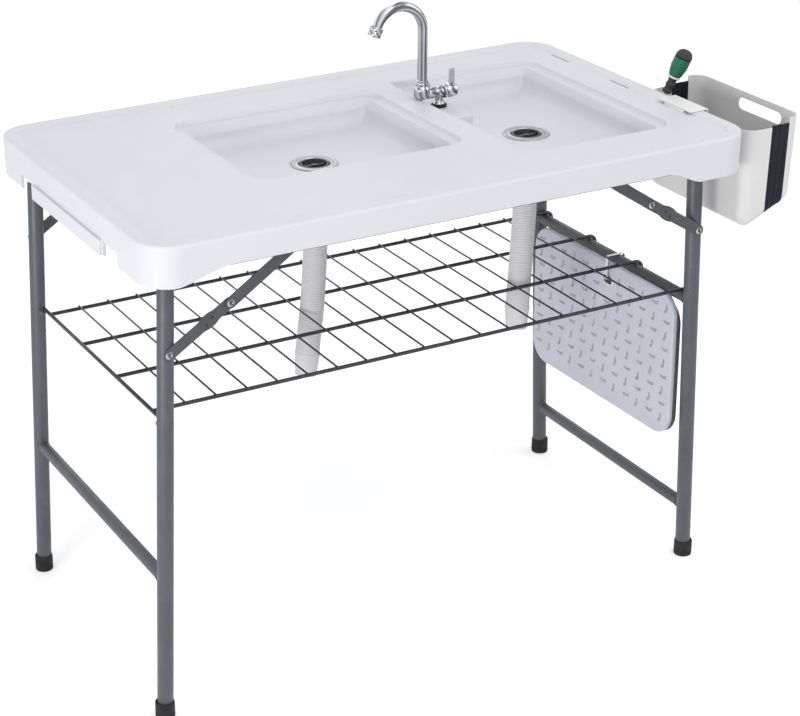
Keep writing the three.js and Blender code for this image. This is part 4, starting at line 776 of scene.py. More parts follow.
@dataclass
class Studio:
    """Camera, lamps, world and floor."""

    focal_px: float = 2126.3
    centre_px: Pair = (237.74, 315.4)
    image_px: Pair = (800.0, 716.0)
    eye_mm: Point = (-1749.83, -3107.04, 2060.64)
    turn_deg: float = 25.5517
    dip_deg: float = 23.3196
    roll_deg: float = -1.3769
    sensor_mm: float = 36.0
    lamp_target: Point = (0.0, 0.0, 0.7)
    world_tint: tuple[float, ...] = (0.98, 0.985, 1.0, 1.0)
    world_light: float = 0.61
    floor_tint: tuple[float, ...] = (0.86, 0.86, 0.865, 1.0)
    floor_glow: float = 0.42

    def camera(self) -> None:
        """Stands the camera where the photograph was taken from."""
        turn, dip, roll = (math.radians(a) for a in (self.turn_deg, self.dip_deg, self.roll_deg))
        forward = Vector((math.sin(turn) * math.cos(dip), math.cos(turn) * math.cos(dip), -math.sin(dip)))
        level = Vector((math.cos(turn), -math.sin(turn), 0.0))
        upward = level.cross(forward)
        right = level * math.cos(roll) + upward * math.sin(roll)
        up = upward * math.cos(roll) - level * math.sin(roll)
        width, height = self.image_px
        data = bpy.data.cameras.new("camera")
        data.sensor_width = self.sensor_mm
        data.lens = self.focal_px / width * self.sensor_mm
        data.shift_x = (width / 2 - self.centre_px[0]) / width
        data.shift_y = (self.centre_px[1] - height / 2) / width
        data.clip_end = 60.0
        camera = add_object("camera", data)
        turned = Matrix((right, up, -forward)).transposed().to_4x4()
        camera.matrix_world = Matrix.Translation(Vector(self.eye_mm) * MM) @ turned
        bpy.context.scene.camera = camera

    def lamp(self, name: str, place: Point, size: float, watts: float) -> None:
        """Hangs a soft square lamp.

        Args:
            name: The lamp's name.
            place: Where it hangs, in metres.
            size: Its side in metres.
            watts: Its power.
        """
        data = bpy.data.lights.new(name, "AREA")
        data.shape = "SQUARE"
        data.size = size
        data.energy = watts
        way = Vector(place) - Vector(self.lamp_target)
        add_object(name, data).matrix_world = facing(Vector(place), way)

    def world(self) -> None:
        """Lights the object evenly and shows white behind it."""
        world = bpy.data.worlds.new("studio")
        bpy.context.scene.world = world
        tree = clear_tree(world)
        light = add_node(tree, "Background", {"Color": self.world_tint, "Strength": self.world_light})
        shown = add_node(tree, "Background", {"Color": WHITE, "Strength": 1.0})
        self.split(tree, light, shown, "OutputWorld")

    def split(self, tree: Tree, usual: bpy.types.Node, seen: bpy.types.Node, output: str) -> None:
        """Shows camera, mirror and glass rays another shader than the rest.

        Args:
            tree: The nodes to add it to.
            usual: The shader that lights the object.
            seen: The shader that is seen behind it.
            output: The type of the output that both go to.
        """
        path = add_node(tree, "LightPath")
        share = path.outputs["Is Camera Ray"]
        for name in ("Is Glossy Ray", "Is Transmission Ray"):
            share = add_node(tree, "Math", {0: share, 1: path.outputs[name]}, operation="MAXIMUM").outputs[0]
        mix = add_node(tree, "MixShader", {0: share, 1: usual.outputs[0], 2: seen.outputs[0]})
        add_node(tree, output, {"Surface": mix.outputs[0]})

    def floor(self) -> None:
        """Lays a plain pale floor that keeps the object's shadow."""
        bm = bmesh.new()
        bmesh.ops.create_grid(bm, x_segments=2, y_segments=2, size=14.0)
        mesh = bpy.data.meshes.new("floor")
        bm.to_mesh(mesh)
        bm.free()
        material = bpy.data.materials.new("pale_floor")
        tree = clear_tree(material)
        matte = add_node(tree, "BsdfDiffuse", {"Color": self.floor_tint})
        glow = add_node(tree, "Emission", {"Color": WHITE, "Strength": self.floor_glow})
        lifted = add_node(tree, "AddShader", {0: matte.outputs[0], 1: glow.outputs[0]})
        self.split(tree, matte, lifted, "OutputMaterial")
        mesh.materials.append(material)
        floor = add_object("floor", mesh)
        floor.location.z = -0.0005

    def build(self) -> None:
        """Sets up the whole studio."""
        self.camera()
        self.world()
        self.floor()
        self.lamp("left_lamp", (-3.6, -2.1, 1.0), 1.5, 74.0)
        self.lamp("right_lamp", (3.0, -1.2, 2.4), 2.0, 17.0)
        self.lamp("front_lamp", (0.5, -1.7, 3.4), 2.0, 27.0)
        self.lamp("back_lamp", (0.9, 3.0, 2.8), 2.2, 13.0)
        bpy.context.scene.view_settings.view_transform = "Standard"


@dataclass
class DrainHose:
    """A finely ribbed hose that hangs from a drain, with a plain head and a plain cuff."""

    label: str
    route: list[Point]
    length: float
    rib_radius: float = 22.4
    root_radius: float = 21.3
    bore_radius: float = 17.0
    cuff_radius: float = 23.4
    cuff_end: float = 19.9
    head: float = 44.0
    cuff: float = 46.0
    pitch: float = 4.7
    sides: int = 28
    curve_steps: int = 120

    def line(self, samples: int = 480) -> list[Vector]:
        """The hose's middle line, a centripetal curve through its route.

        Args:
            samples: How many points it has.

        Returns:
            The points, evenly spaced.
        """
        points = [Vector(p) for p in self.route]
        points = [points[0] * 2 - points[1]] + points + [points[-1] * 2 - points[-2]]
        dense = []
        for p0, p1, p2, p3 in zip(points, points[1:], points[2:], points[3:]):
            d0, d1, d2 = (math.sqrt((b - a).length) for a, b in ((p0, p1), (p1, p2), (p2, p3)))
            out = ((p1 - p0) / d0 - (p2 - p0) / (d0 + d1) + (p2 - p1) / d1) * d1
            into = ((p2 - p1) / d1 - (p3 - p1) / (d1 + d2) + (p3 - p2) / d2) * d1
            for step in range(self.curve_steps):
                t = step / self.curve_steps
                dense.append(
                    p1 * (2 * t**3 - 3 * t**2 + 1) + out * (t**3 - 2 * t**2 + t)
                    + p2 * (3 * t**2 - 2 * t**3) + into * (t**3 - t**2)
                )
        dense.append(points[-2])
        run = [0.0]
        for a, b in zip(dense, dense[1:]):
            run.append(run[-1] + (b - a).length)
        even, at = [], 0
        for sample in range(samples + 1):
            goal = run[-1] * sample / samples
            while at + 2 < len(run) and run[at + 1] < goal:
                at += 1
            share = (goal - run[at]) / max(run[at + 1] - run[at], 1e-9)
            even.append(dense[at].lerp(dense[at + 1], min(max(share, 0.0), 1.0)))
        return even

    def rib_stations(self, length: float) -> list[Pair]:
        """The outer skin as pairs of distance and radius.

        Args:
            length: The hose's length.

        Returns:
            The pairs, from the head to the cuff's end.
        """
        head = self.rib_radius
        pairs = [(0.0, head - 0.6), (0.8, head), (self.head - 2, head), (self.head, self.root_radius)]
        span = length - self.head - self.cuff
        ribs = int(span / self.pitch)
        for rib in range(ribs):
            start = self.head + span * (rib + 0.2) / ribs
            pairs.append((start, self.root_radius))
            pairs.append((start + self.pitch * 0.22, self.rib_radius - 0.2))
            pairs.append((start + self.pitch * 0.42, self.rib_radius))
            pairs.append((start + self.pitch * 0.64, self.root_radius + 0.2))
        foot = length - self.cuff
        wide, narrow = self.cuff_radius, self.cuff_end
        pairs += [(foot + 1, self.root_radius), (foot + 3, wide - 0.5), (foot + 5, wide)]
        pairs += [(foot + 10, wide - 0.6), (foot + 20, wide - 1.6)]
        pairs += [(length - 7, narrow + 0.3), (length - 6, narrow - 0.4)]
        pairs += [(length - 4, narrow - 0.4), (length - 3, narrow), (length, narrow)]
        return pairs

    def build(self) -> None:
        line = self.line()
        length = sum((b - a).length for a, b in zip(line, line[1:]))
        outer = self.rib_stations(length)
        bore = [(length, self.bore_radius)] + [
            (length * (1 - step / 24), self.bore_radius) for step in range(1, 25)
        ]
        reach = len(line) - 1
        frames = stations(line, [1.0] * len(line))
        placed = []
        for distance, radius in outer + bore:
            at = min(max(distance / length * reach, 0.0), reach - 1e-6)
            low = int(at)
            near = frames[low + 1] if at - low > 0.5 else frames[low]
            point = line[low].lerp(line[low + 1], at - low)
            placed.append(circle_at(point, near.to_3x3().to_4x4(), radius))
        bm = sweep(bmesh.new(), placed, self.sides, looped=True)
        tag = Tag(f"{self.label}_ribbed_hose", "top", "hose", HOSE_WHITE, (f"{self.label}_drain_hose",))
        hose = settle(bm, tag, crease=60.0)
        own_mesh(hose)


@dataclass
class TableTop:
    """The one-piece moulded top with its rim, apron, corner pods and two sinks."""

    half_depth: float = 342.5
    height: float = 875.0
    skin: float = 5.0
    pod_bottom: float = 803.0
    apron_bottom: float = 827.4
    left_pod: Pair = (-545.0, -430.0)
    right_pod: Pair = (470.0, 395.0)
    drain_floor: float = 813.0
    fall: float = 6.0
    well_radius: float = 51.0
    foot_inset: float = 27.0
    fillet: float = 30.0
    ledge_height: float = 863.0
    margin: float = 20.0
    slot_half: Pair = (2.0, 29.0)
    notch_ys: Pair = (155.0, 212.0)
    plan: Plan = Plan(-575.0, 575.0, -342.5, 342.5, 60.0, 14)
    left: Plan = Plan(-289.0, 126.0, -129.0, 222.0, 38.0, 12)
    right: Plan = Plan(176.0, 488.0, -230.0, 243.0, 38.0, 12)
    ticks: int = 77
    first_tick: float = -500.0
    tick_pitch: float = 12.7
    tick_y: float = -325.5
    slot_x: float = 543.0
    slot_centres: tuple[float, ...] = (210.0, 16.0, -154.0)

    def sink(self, plan: Plan, drain: Pair, grow: float) -> Mesh:
        """One sink's hollow, or with growth its outer shell.

        Args:
            plan: The sink's outline.
            drain: The middle of its drain.
            grow: How much larger than the hollow it is.

        Returns:
            The closed solid.
        """
        floor = self.drain_floor + self.fall - grow
        well_radius = self.well_radius + grow
        well = Plan(
            drain[0] - well_radius, drain[0] + well_radius, drain[1] - well_radius, drain[1] + well_radius,
            well_radius * 0.97, plan.steps,
        )
        rings = [well.ring(0.0, self.drain_floor - grow)]
        steps = 3 if grow else 9
        for step in range(steps + 1):
            angle = step / steps * QUARTER_TURN
            inset = self.foot_inset + self.fillet * (1 - math.sin(angle)) - grow
            rings.append(plan.ring(inset, floor + self.fillet * (1 - math.cos(angle))))
        shelf = self.ledge_height
        if grow:
            rings += stacked(plan, [(17 - grow, shelf - grow), (2 - grow, shelf - grow / 2), (-grow, 868.5)])
        else:
            ledge = [(22.0, 856.0), (17.0, shelf), (3.0, shelf), (0.6, 871.0), (-4.0, 871.12)]
            rings += stacked(plan, eased(ledge, 3.2, 4)[1:]) + [plan.ring(-4.0, 900.0)]
        return solid_of(rings)

    def under_apron(self) -> Mesh:
        """The space below the front and back aprons, between the corner pods."""
        curves = []
        for flat, end in (self.right_pod, self.left_pod):
            curve = []
            for step in range(17):
                share = step / 16
                smooth = share * share * (3 - 2 * share)
                rise = self.pod_bottom + (self.apron_bottom - self.pod_bottom) * smooth
                curve.append((flat + (end - flat) * share, rise))
            curves.append(curve)
        foot = self.pod_bottom - self.margin
        line = [(self.left_pod[0], foot), (self.right_pod[0], foot)]
        line += curves[0] + curves[1][::-1]
        reach = self.half_depth + self.margin
        return solid_of([[Vector((x, y, z)) for x, z in line] for y in (reach, -reach)])

    def build(self) -> None:
        """Makes the top, the marks along its front rim and its side clips."""
        low = self.pod_bottom
        outer = eased([(0.6, low), (0.2, 850.0), (0.0, self.height), (14.0, self.height)], 8.5, 7)
        body = solid_of(stacked(self.plan, [(2.6, low), (1.4, low + 0.4), (0.7, low + 1.8)] + outer[1:]))
        hollow = solid_of(stacked(self.plan, [(5.5, 771.0), (5.5, 866.0)]))
        dished = [(34.0, 871.0), (28.0, 871.0), (24.6, 874.6), (20.0, 875.1)]
        dish = solid_of(stacked(self.plan, eased(dished, 2.6, 5)) + [self.plan.ring(20.0, 900.0)])
        left_drain, right_drain = DRAINS["left"], DRAINS["right"]
        step = box_of((100, 46, 760), (246, 300, 852), 5.0)
        right_hollow = worked(self.sink(self.right, right_drain, 0.0), [(Cut.AWAY, step)])
        pocket_plan = Plan(177.5, 258.0, 47.5, 241.5, 12.0)
        pocket = solid_of(stacked(pocket_plan, eased([(6.0, 852.0), (0.0, 852.0), (0.0, 868.0)], 5.0, 4)) + [
            pocket_plan.ring(-0.2, 869.5), pocket_plan.ring(-1.6, 871.2), pocket_plan.ring(-1.6, 895.0),
        ])
        work = [
            (Cut.AWAY, hollow), (Cut.AWAY, dish), (Cut.AWAY, self.under_apron()),
            (Cut.ONTO, self.sink(self.left, left_drain, self.skin)),
            (Cut.ONTO, self.sink(self.right, right_drain, self.skin)),
            (Cut.ONTO, box_of((171, 41, 847), (246, 248, 868.5))),
            (Cut.ONTO, box_of((-580, -150, low), (-570, 150, 830), 1.6)),
            (Cut.AWAY, pocket),
            (Cut.AWAY, box_of((171, 51, 771), (241, 248, 847))),
        ]
        for x, y in (left_drain, right_drain):
            work.append((Cut.AWAY, bar_of((x, y, 793), (x, y, 833), 28.3)))
        for y in self.slot_centres:
            wide, long = self.slot_half
            near = (self.slot_x - wide, y - long, 851)
            work.append((Cut.AWAY, box_of(near, (self.slot_x + wide, y + long, 895))))
        for end in (-1, 1):
            for side in (-1, 1):
                xs = sorted((end * 595.0, end * 541.0))
                ys = sorted(side * y for y in self.notch_ys)
                work.append((Cut.AWAY, box_of((xs[0], ys[0], 771), (xs[1], ys[1], 829))))
        work.append((Cut.AWAY, self.sink(self.left, left_drain, 0.0)))
        work.append((Cut.AWAY, right_hollow))
        top = worked(body, work)
        bmesh.ops.remove_doubles(top, verts=top.verts, dist=0.002)
        settle(top, Tag("moulded_top", "top", "plastic", MOULDED_WHITE, ("tabletop",)), 36.0, even=True)
        self.marks()
        self.clips()

    def marks(self) -> None:
        """Presses a faint scale of plain ticks into the front rim, paler than the top as a painted highlight.
        """
        bm = bmesh.new()
        for tick in range(self.ticks):
            x = self.first_tick + tick * self.tick_pitch
            deep = self.tick_y + (7.0 if tick % 4 == 0 else 3.6)
            block(bm, (x - 0.45, self.tick_y, 874.8), (x + 0.45, deep, 875.06))
        # the paler colour is painted highlight on the raised ticks
        settle(bm, Tag("rim_ticks", "top", "plastic", EMBOSSED_HIGHLIGHT))

    def clips(self) -> None:
        """Makes the two toothed white clips in the left end's notches."""
        for label, side in (("front", -1), ("back", 1)):
            bm = bmesh.new()
            ys = sorted((side * 211.7, side * 155.3))
            block(bm, (-569.6, ys[0] + 0.2, 822.0), (-565.4, ys[1] - 0.2, 828.6), 0.9, 2)
            for tooth in range(5):
                y = ys[0] + 3 + tooth * 11.2
                block(bm, (-569.9, y, 818.8 + (tooth % 3) * 1.1), (-565.1, y + 6.4, 824.0), 0.9, 2)
            tag = Tag(f"toothed_clip_{label}", "top", "clip", CLIP_WHITE, (f"side_clip_{label}",))
            settle(bm, tag)


@dataclass
class Drain:
    """A bright drain flange with a black strainer, and the nut below the sink."""

    label: str
    x: float
    y: float
    seat: float = 813.3

    def flange(self) -> None:
        """Makes the flange with its neck and short tail."""
        s = self.seat
        profile = [
            (13.4, 787.1), (15.3, 787.1), (15.3, 793.1), (27.9, 793.1), (28.0, s), (42.9, s), (42.5, s + 0.9),
            (40.6, s + 1.7), (39.4, s + 1.2), (34.4, s + 1.3), (33.2, s + 1.8), (29.6, s + 1.5),
            (28.2, s + 0.2), (27.0, s - 2.0), (25.1, s - 3.6), (25.0, 795.1), (13.4, 795.1),
        ]
        bm = soften(turned(profile, upright(self.x, self.y), 72, ring=True), 0.5, 28.0, 3)
        nodes = (f"{self.label}_drain_flange",)
        settle(bm, Tag(f"{self.label}_bright_flange", "top", "chrome", DRAIN_STEEL, nodes), 50.0)

    def strainer(self) -> None:
        """Makes the black strainer with its cross bar and holes."""
        cup = [
            (0.0, 806.1), (24.2, 806.1), (24.6, 810.5), (26.6, 813.4), (26.6, 814.2), (22.8, 814.2),
            (22.5, 808.2), (0.0, 808.2),
        ]
        x, y, label = self.x, self.y, self.label
        bm = soften(turned(cup, upright(x, y), 64), 0.35, 35.0, 2)
        cuts = []
        for spoke in range(12):
            angle = spoke / 12 * FULL_TURN
            if spoke % 6 == 0:
                continue
            hx, hy = x + 16.5 * math.cos(angle), y + 16.5 * math.sin(angle)
            cuts.append((Cut.AWAY, bar_of((hx, hy, 800), (hx, hy, 812), 2.6)))
        dish = worked(bm, cuts)
        block(dish, (x - 23.0, y - 2.4, 807.4), (x + 23.0, y + 2.4, 811.4), 0.9, 3)
        knob = eased([(0.0, 812.6), (5.4, 812.2), (6.0, 808.0), (0.0, 808.0)], 0.8, 3)
        lathe(dish, knob, upright(x, y), 32)
        nodes = (f"{label}_drain_strainer",)
        settle(dish, Tag(f"{label}_black_strainer", f"{label}_strainer", "strainer", STRAINER_BLACK, nodes))

    def nut(self) -> None:
        """Makes the lock nut with gripping lugs."""
        section = [(28.7, 800.8), (32.4, 800.8), (32.4, 807.6), (28.7, 807.6)]
        bm = soften(turned(section, upright(self.x, self.y), 64, ring=True), 0.6, 40.0, 2)
        for lug in range(10):
            turn = Matrix.Translation((self.x, self.y, 804.2)) @ Matrix.Rotation(lug / 10 * FULL_TURN, 4, "Z")
            place = turn @ Matrix.Translation((32.4, 0, 0)) @ Matrix.Diagonal((2.6, 5.0, 6.4, 1.0))
            bmesh.ops.create_cube(bm, size=1.0, matrix=place)
        nodes = (f"{self.label}_drain_nut",)
        settle(bm, Tag(f"{self.label}_lugged_nut", "top", "nut", NUT_PLASTIC, nodes))

    def build(self) -> None:
        """Makes the flange, strainer and nut."""
        self.flange()
        self.strainer()
        self.nut()


@dataclass
class Faucet:
    """A bright gooseneck faucet on a short stem, with a turning spout and a lever valve."""

    y: float = 119.0
    shank_x: float = 214.5
    elbow_x: float = 178.0
    axis: float = 880.0
    bend: float = 1003.0
    bend_radius: float = 49.0
    end_angle: float = 155.5

    def at(self, x: float, z: float) -> Vector:
        """A point in the faucet's plane."""
        return Vector((x, self.y, z))

    def stem(self) -> None:
        """Makes the gasket, the shank with its flange and the barrel with its elbow."""
        washer = [(7.4, 852.35), (14.8, 852.35), (14.8, 856.2), (7.4, 856.2)]
        bm = soften(turned(washer, upright(self.shank_x, self.y), 48, True), 0.9, 40.0, 3)
        settle(bm, Tag("stem_gasket", "top", "rubber", RUBBER, ("faucet_gasket",)))
        stem = [
            (0.0, 828.1), (6.4, 828.1), (7.0, 829.0), (7.0, 856.6), (10.4, 856.6), (11.0, 857.4),
            (11.0, 859.0), (9.6, 860.6), (8.0, 863.0), (7.4, 868.0), (7.4, 880.0), (0.0, 880.0),
        ]
        bm = turned(stem, upright(self.shank_x, self.y), 40)
        for turn in range(8):
            ring = [(6.8, 830 + turn * 1.6), (7.0, 830.6 + turn * 1.6), (6.8, 831.2 + turn * 1.6)]
            lathe(bm, ring, upright(self.shank_x, self.y), 24, True)
        barrel = [
            (0.0, 0.0), (8.8, 0.0), (9.8, 1.2), (9.8, 22.0), (9.4, 23.0),
            (9.4, 24.4), (9.8, 25.4), (9.8, 34.4), (9.0, 35.4), (0.0, 35.4),
        ]
        lathe(bm, barrel, facing(self.at(186, self.axis), Vector((1, 0, 0))), 48)
        elbow = [
            (0.0, 872.1), (7.6, 872.1), (11.6, 873.4), (14.0, 876.6), (14.9, 880.0),
            (14.9, 890.6), (13.6, 894.6), (11.6, 896.6), (11.2, 897.4), (11.4, 898.2),
            (11.4, 903.6), (10.8, 904.7), (9.6, 904.9), (0.0, 904.9),
        ]
        lathe(bm, elbow, upright(self.elbow_x, self.y), 48)
        settle(bm, Tag("stem_and_elbow", "top", "chrome", CHROME, ("faucet_body",)), 46.0)

    def valve(self) -> None:
        """Makes the valve's round hub and its flat lever."""
        hub = [
            (0.0, 0.0), (9.6, 0.0), (12.4, 1.0), (12.9, 2.2), (12.9, 6.2), (12.3, 7.0),
            (12.3, 8.4), (12.9, 9.2), (12.9, 24.4), (11.6, 26.4), (8.0, 26.9), (0.0, 26.9),
        ]
        bm = turned(hub, facing(self.at(222.1, self.axis), Vector((1, 0, 0))), 56)
        settle(bm, Tag("valve_hub", "valve", "chrome", CHROME, ("faucet_valve_hub",)), 46.0)
        bm = box_of((235.1, 116.9, 891.0), (246.9, 121.1, 922.9), 1.7, 5)
        settle(bm, Tag("valve_lever", "valve", "chrome", LEVER_STEEL, ("faucet_lever",)), 46.0)

    def spout(self) -> None:
        """Makes the bent spout and the aerator at its mouth."""
        points = [self.at(self.elbow_x, z) for z in (894.0, 905.0, 930.0, 960.0, 985.0)]
        steps = 40
        end = math.radians(self.end_angle)
        for step in range(steps + 1):
            angle = step / steps * end
            x = self.elbow_x - self.bend_radius * (1 - math.cos(angle))
            points.append(self.at(x, self.bend + self.bend_radius * math.sin(angle)))
        way = Vector((-math.sin(end), 0.0, math.cos(end)))
        points.append(points[-1] + way * 9.6)
        bm = sweep(bmesh.new(), stations(points, [9.1] * len(points)), 40)
        collar = [(9.0, 905.2), (10.4, 905.4), (10.8, 906.6), (10.4, 907.8), (9.0, 908.2)]
        lathe(bm, collar, upright(self.elbow_x, self.y), 40, True)
        settle(bm, Tag("bent_spout", "spout", "chrome", CHROME, ("faucet_spout",)), 50.0)
        sleeve = [
            (9.3, 0.2), (11.2, 0.2), (12.4, 1.4), (12.4, 8.0), (11.7, 8.8), (11.7, 10.2), (12.4, 11.0),
            (12.4, 16.8), (11.4, 18.8), (9.4, 18.8), (9.0, 17.0), (9.0, 15.4), (9.3, 12.0),
        ]
        bm = turned(sleeve, facing(points[-1] - way * 7.6, way), 56, ring=True)
        for bar in range(-2, 3):
            half = Vector((0, math.sqrt(max(8.8**2 - (bar * 3.4) ** 2, 1.0)), 0))
            side = way.cross(Vector((0, 1, 0)))
            centre = points[-1] + way * 8.0 + side * bar * 3.4
            rod(bm, centre - half, centre + half, 0.5, 6)
        settle(bm, Tag("spout_aerator", "spout", "chrome", CHROME, ("faucet_aerator",)), 46.0)

    def build(self) -> None:
        """Makes all of the faucet."""
        self.stem()
        self.valve()
        self.spout()


@dataclass
class LegFrame:
    """Two splayed tube legs on a pivot tube, with their crossbars and rubber feet."""

    label: str
    side: int
    leg_y: float
    bars: tuple[tuple[str, float], ...]
    radius: float = 14.0
    leg_span: Pair = (7.5, 842.6)
    peg_y: float = 254.1
    peg_z: float = 539.2
    pivot_reach: float = 315.9
    pivot_radius: float = 9.95
    bar_radius: float = 10.95
    sunk: float = 8.2

    def on_leg(self, y: float, z: float) -> Vector:
        """A point on a leg's axis at a height."""
        return Vector((self.side * leg_x(z), y, z))

    def foot(self, label: str, y: float) -> None:
        """Makes one rubber foot.

        Args:
            label: Front or back.
            y: The leg's Y.
        """
        profile = [
            (0.0, 0.0), (14.6, 0.0), (16.4, 0.6), (17.0, 2.2), (17.0, 9.4), (16.4, 10.2), (16.4, 11.6),
            (17.0, 12.4), (16.9, 27.6), (16.5, 29.6), (15.6, 30.9), (14.3, 30.9), (13.6, 24.0), (0.0, 22.0),
        ]
        bm = turned(profile, upright(self.on_leg(y, 0.0).x, y), 48)
        tag = Tag(f"{self.label}_{label}_rubber_foot", f"{self.label}_frame", "rubber", RUBBER,
                  (f"{self.label}_{label}_foot",))
        settle(bm, tag, 44.0)

    def build(self) -> None:
        """Makes the legs, tubes and feet."""
        body = f"{self.label}_frame"
        for label, way in (("front", -1), ("back", 1)):
            y = way * self.leg_y
            foot, head = (self.on_leg(y, z) for z in self.leg_span)
            bm = bar_of(foot, head, self.radius, 40, 4.0)
            if self.label == "left":
                peg = self.on_leg(y, self.peg_z)
                rod(bm, peg, Vector((peg.x, way * self.peg_y, peg.z)), 5.0, 20, 1.6)
            for _, z in self.bars:
                seam = self.on_leg(y - way * (self.radius - 1.6), z)
                ring = [(10.6, 0.0), (11.9, 0.2), (12.2, 1.2), (11.2, 2.6), (10.6, 2.8)]
                lathe(bm, ring, facing(seam, Vector((0, -way, 0))), 32, True)
            name = f"{self.label}_{label}_leg"
            settle(bm, Tag(f"{name}_tube", body, "paint", GREY_COAT, (name,)), 50.0)
            self.foot(label, y)
        reach = Vector((0, self.pivot_reach, 0))
        middle = Vector((self.side * PIVOT_X, 0.0, PIVOT_Z))
        bm = bar_of(middle - reach, middle + reach, self.pivot_radius, 32, 1.2)
        nodes = (f"{self.label}_pivot_tube",)
        settle(bm, Tag(f"{self.label}_hinge_tube", body, "paint", GREY_COAT, nodes), 50.0)
        for name, z in self.bars:
            end = self.on_leg(self.leg_y - self.sunk, z)
            bm = bar_of((end.x, -end.y, z), end, self.bar_radius, 32, 0.6)
            node = f"{self.label}_{name}"
            settle(bm, Tag(f"{node}_tube", body, "paint", GREY_COAT, (node,)), 50.0)


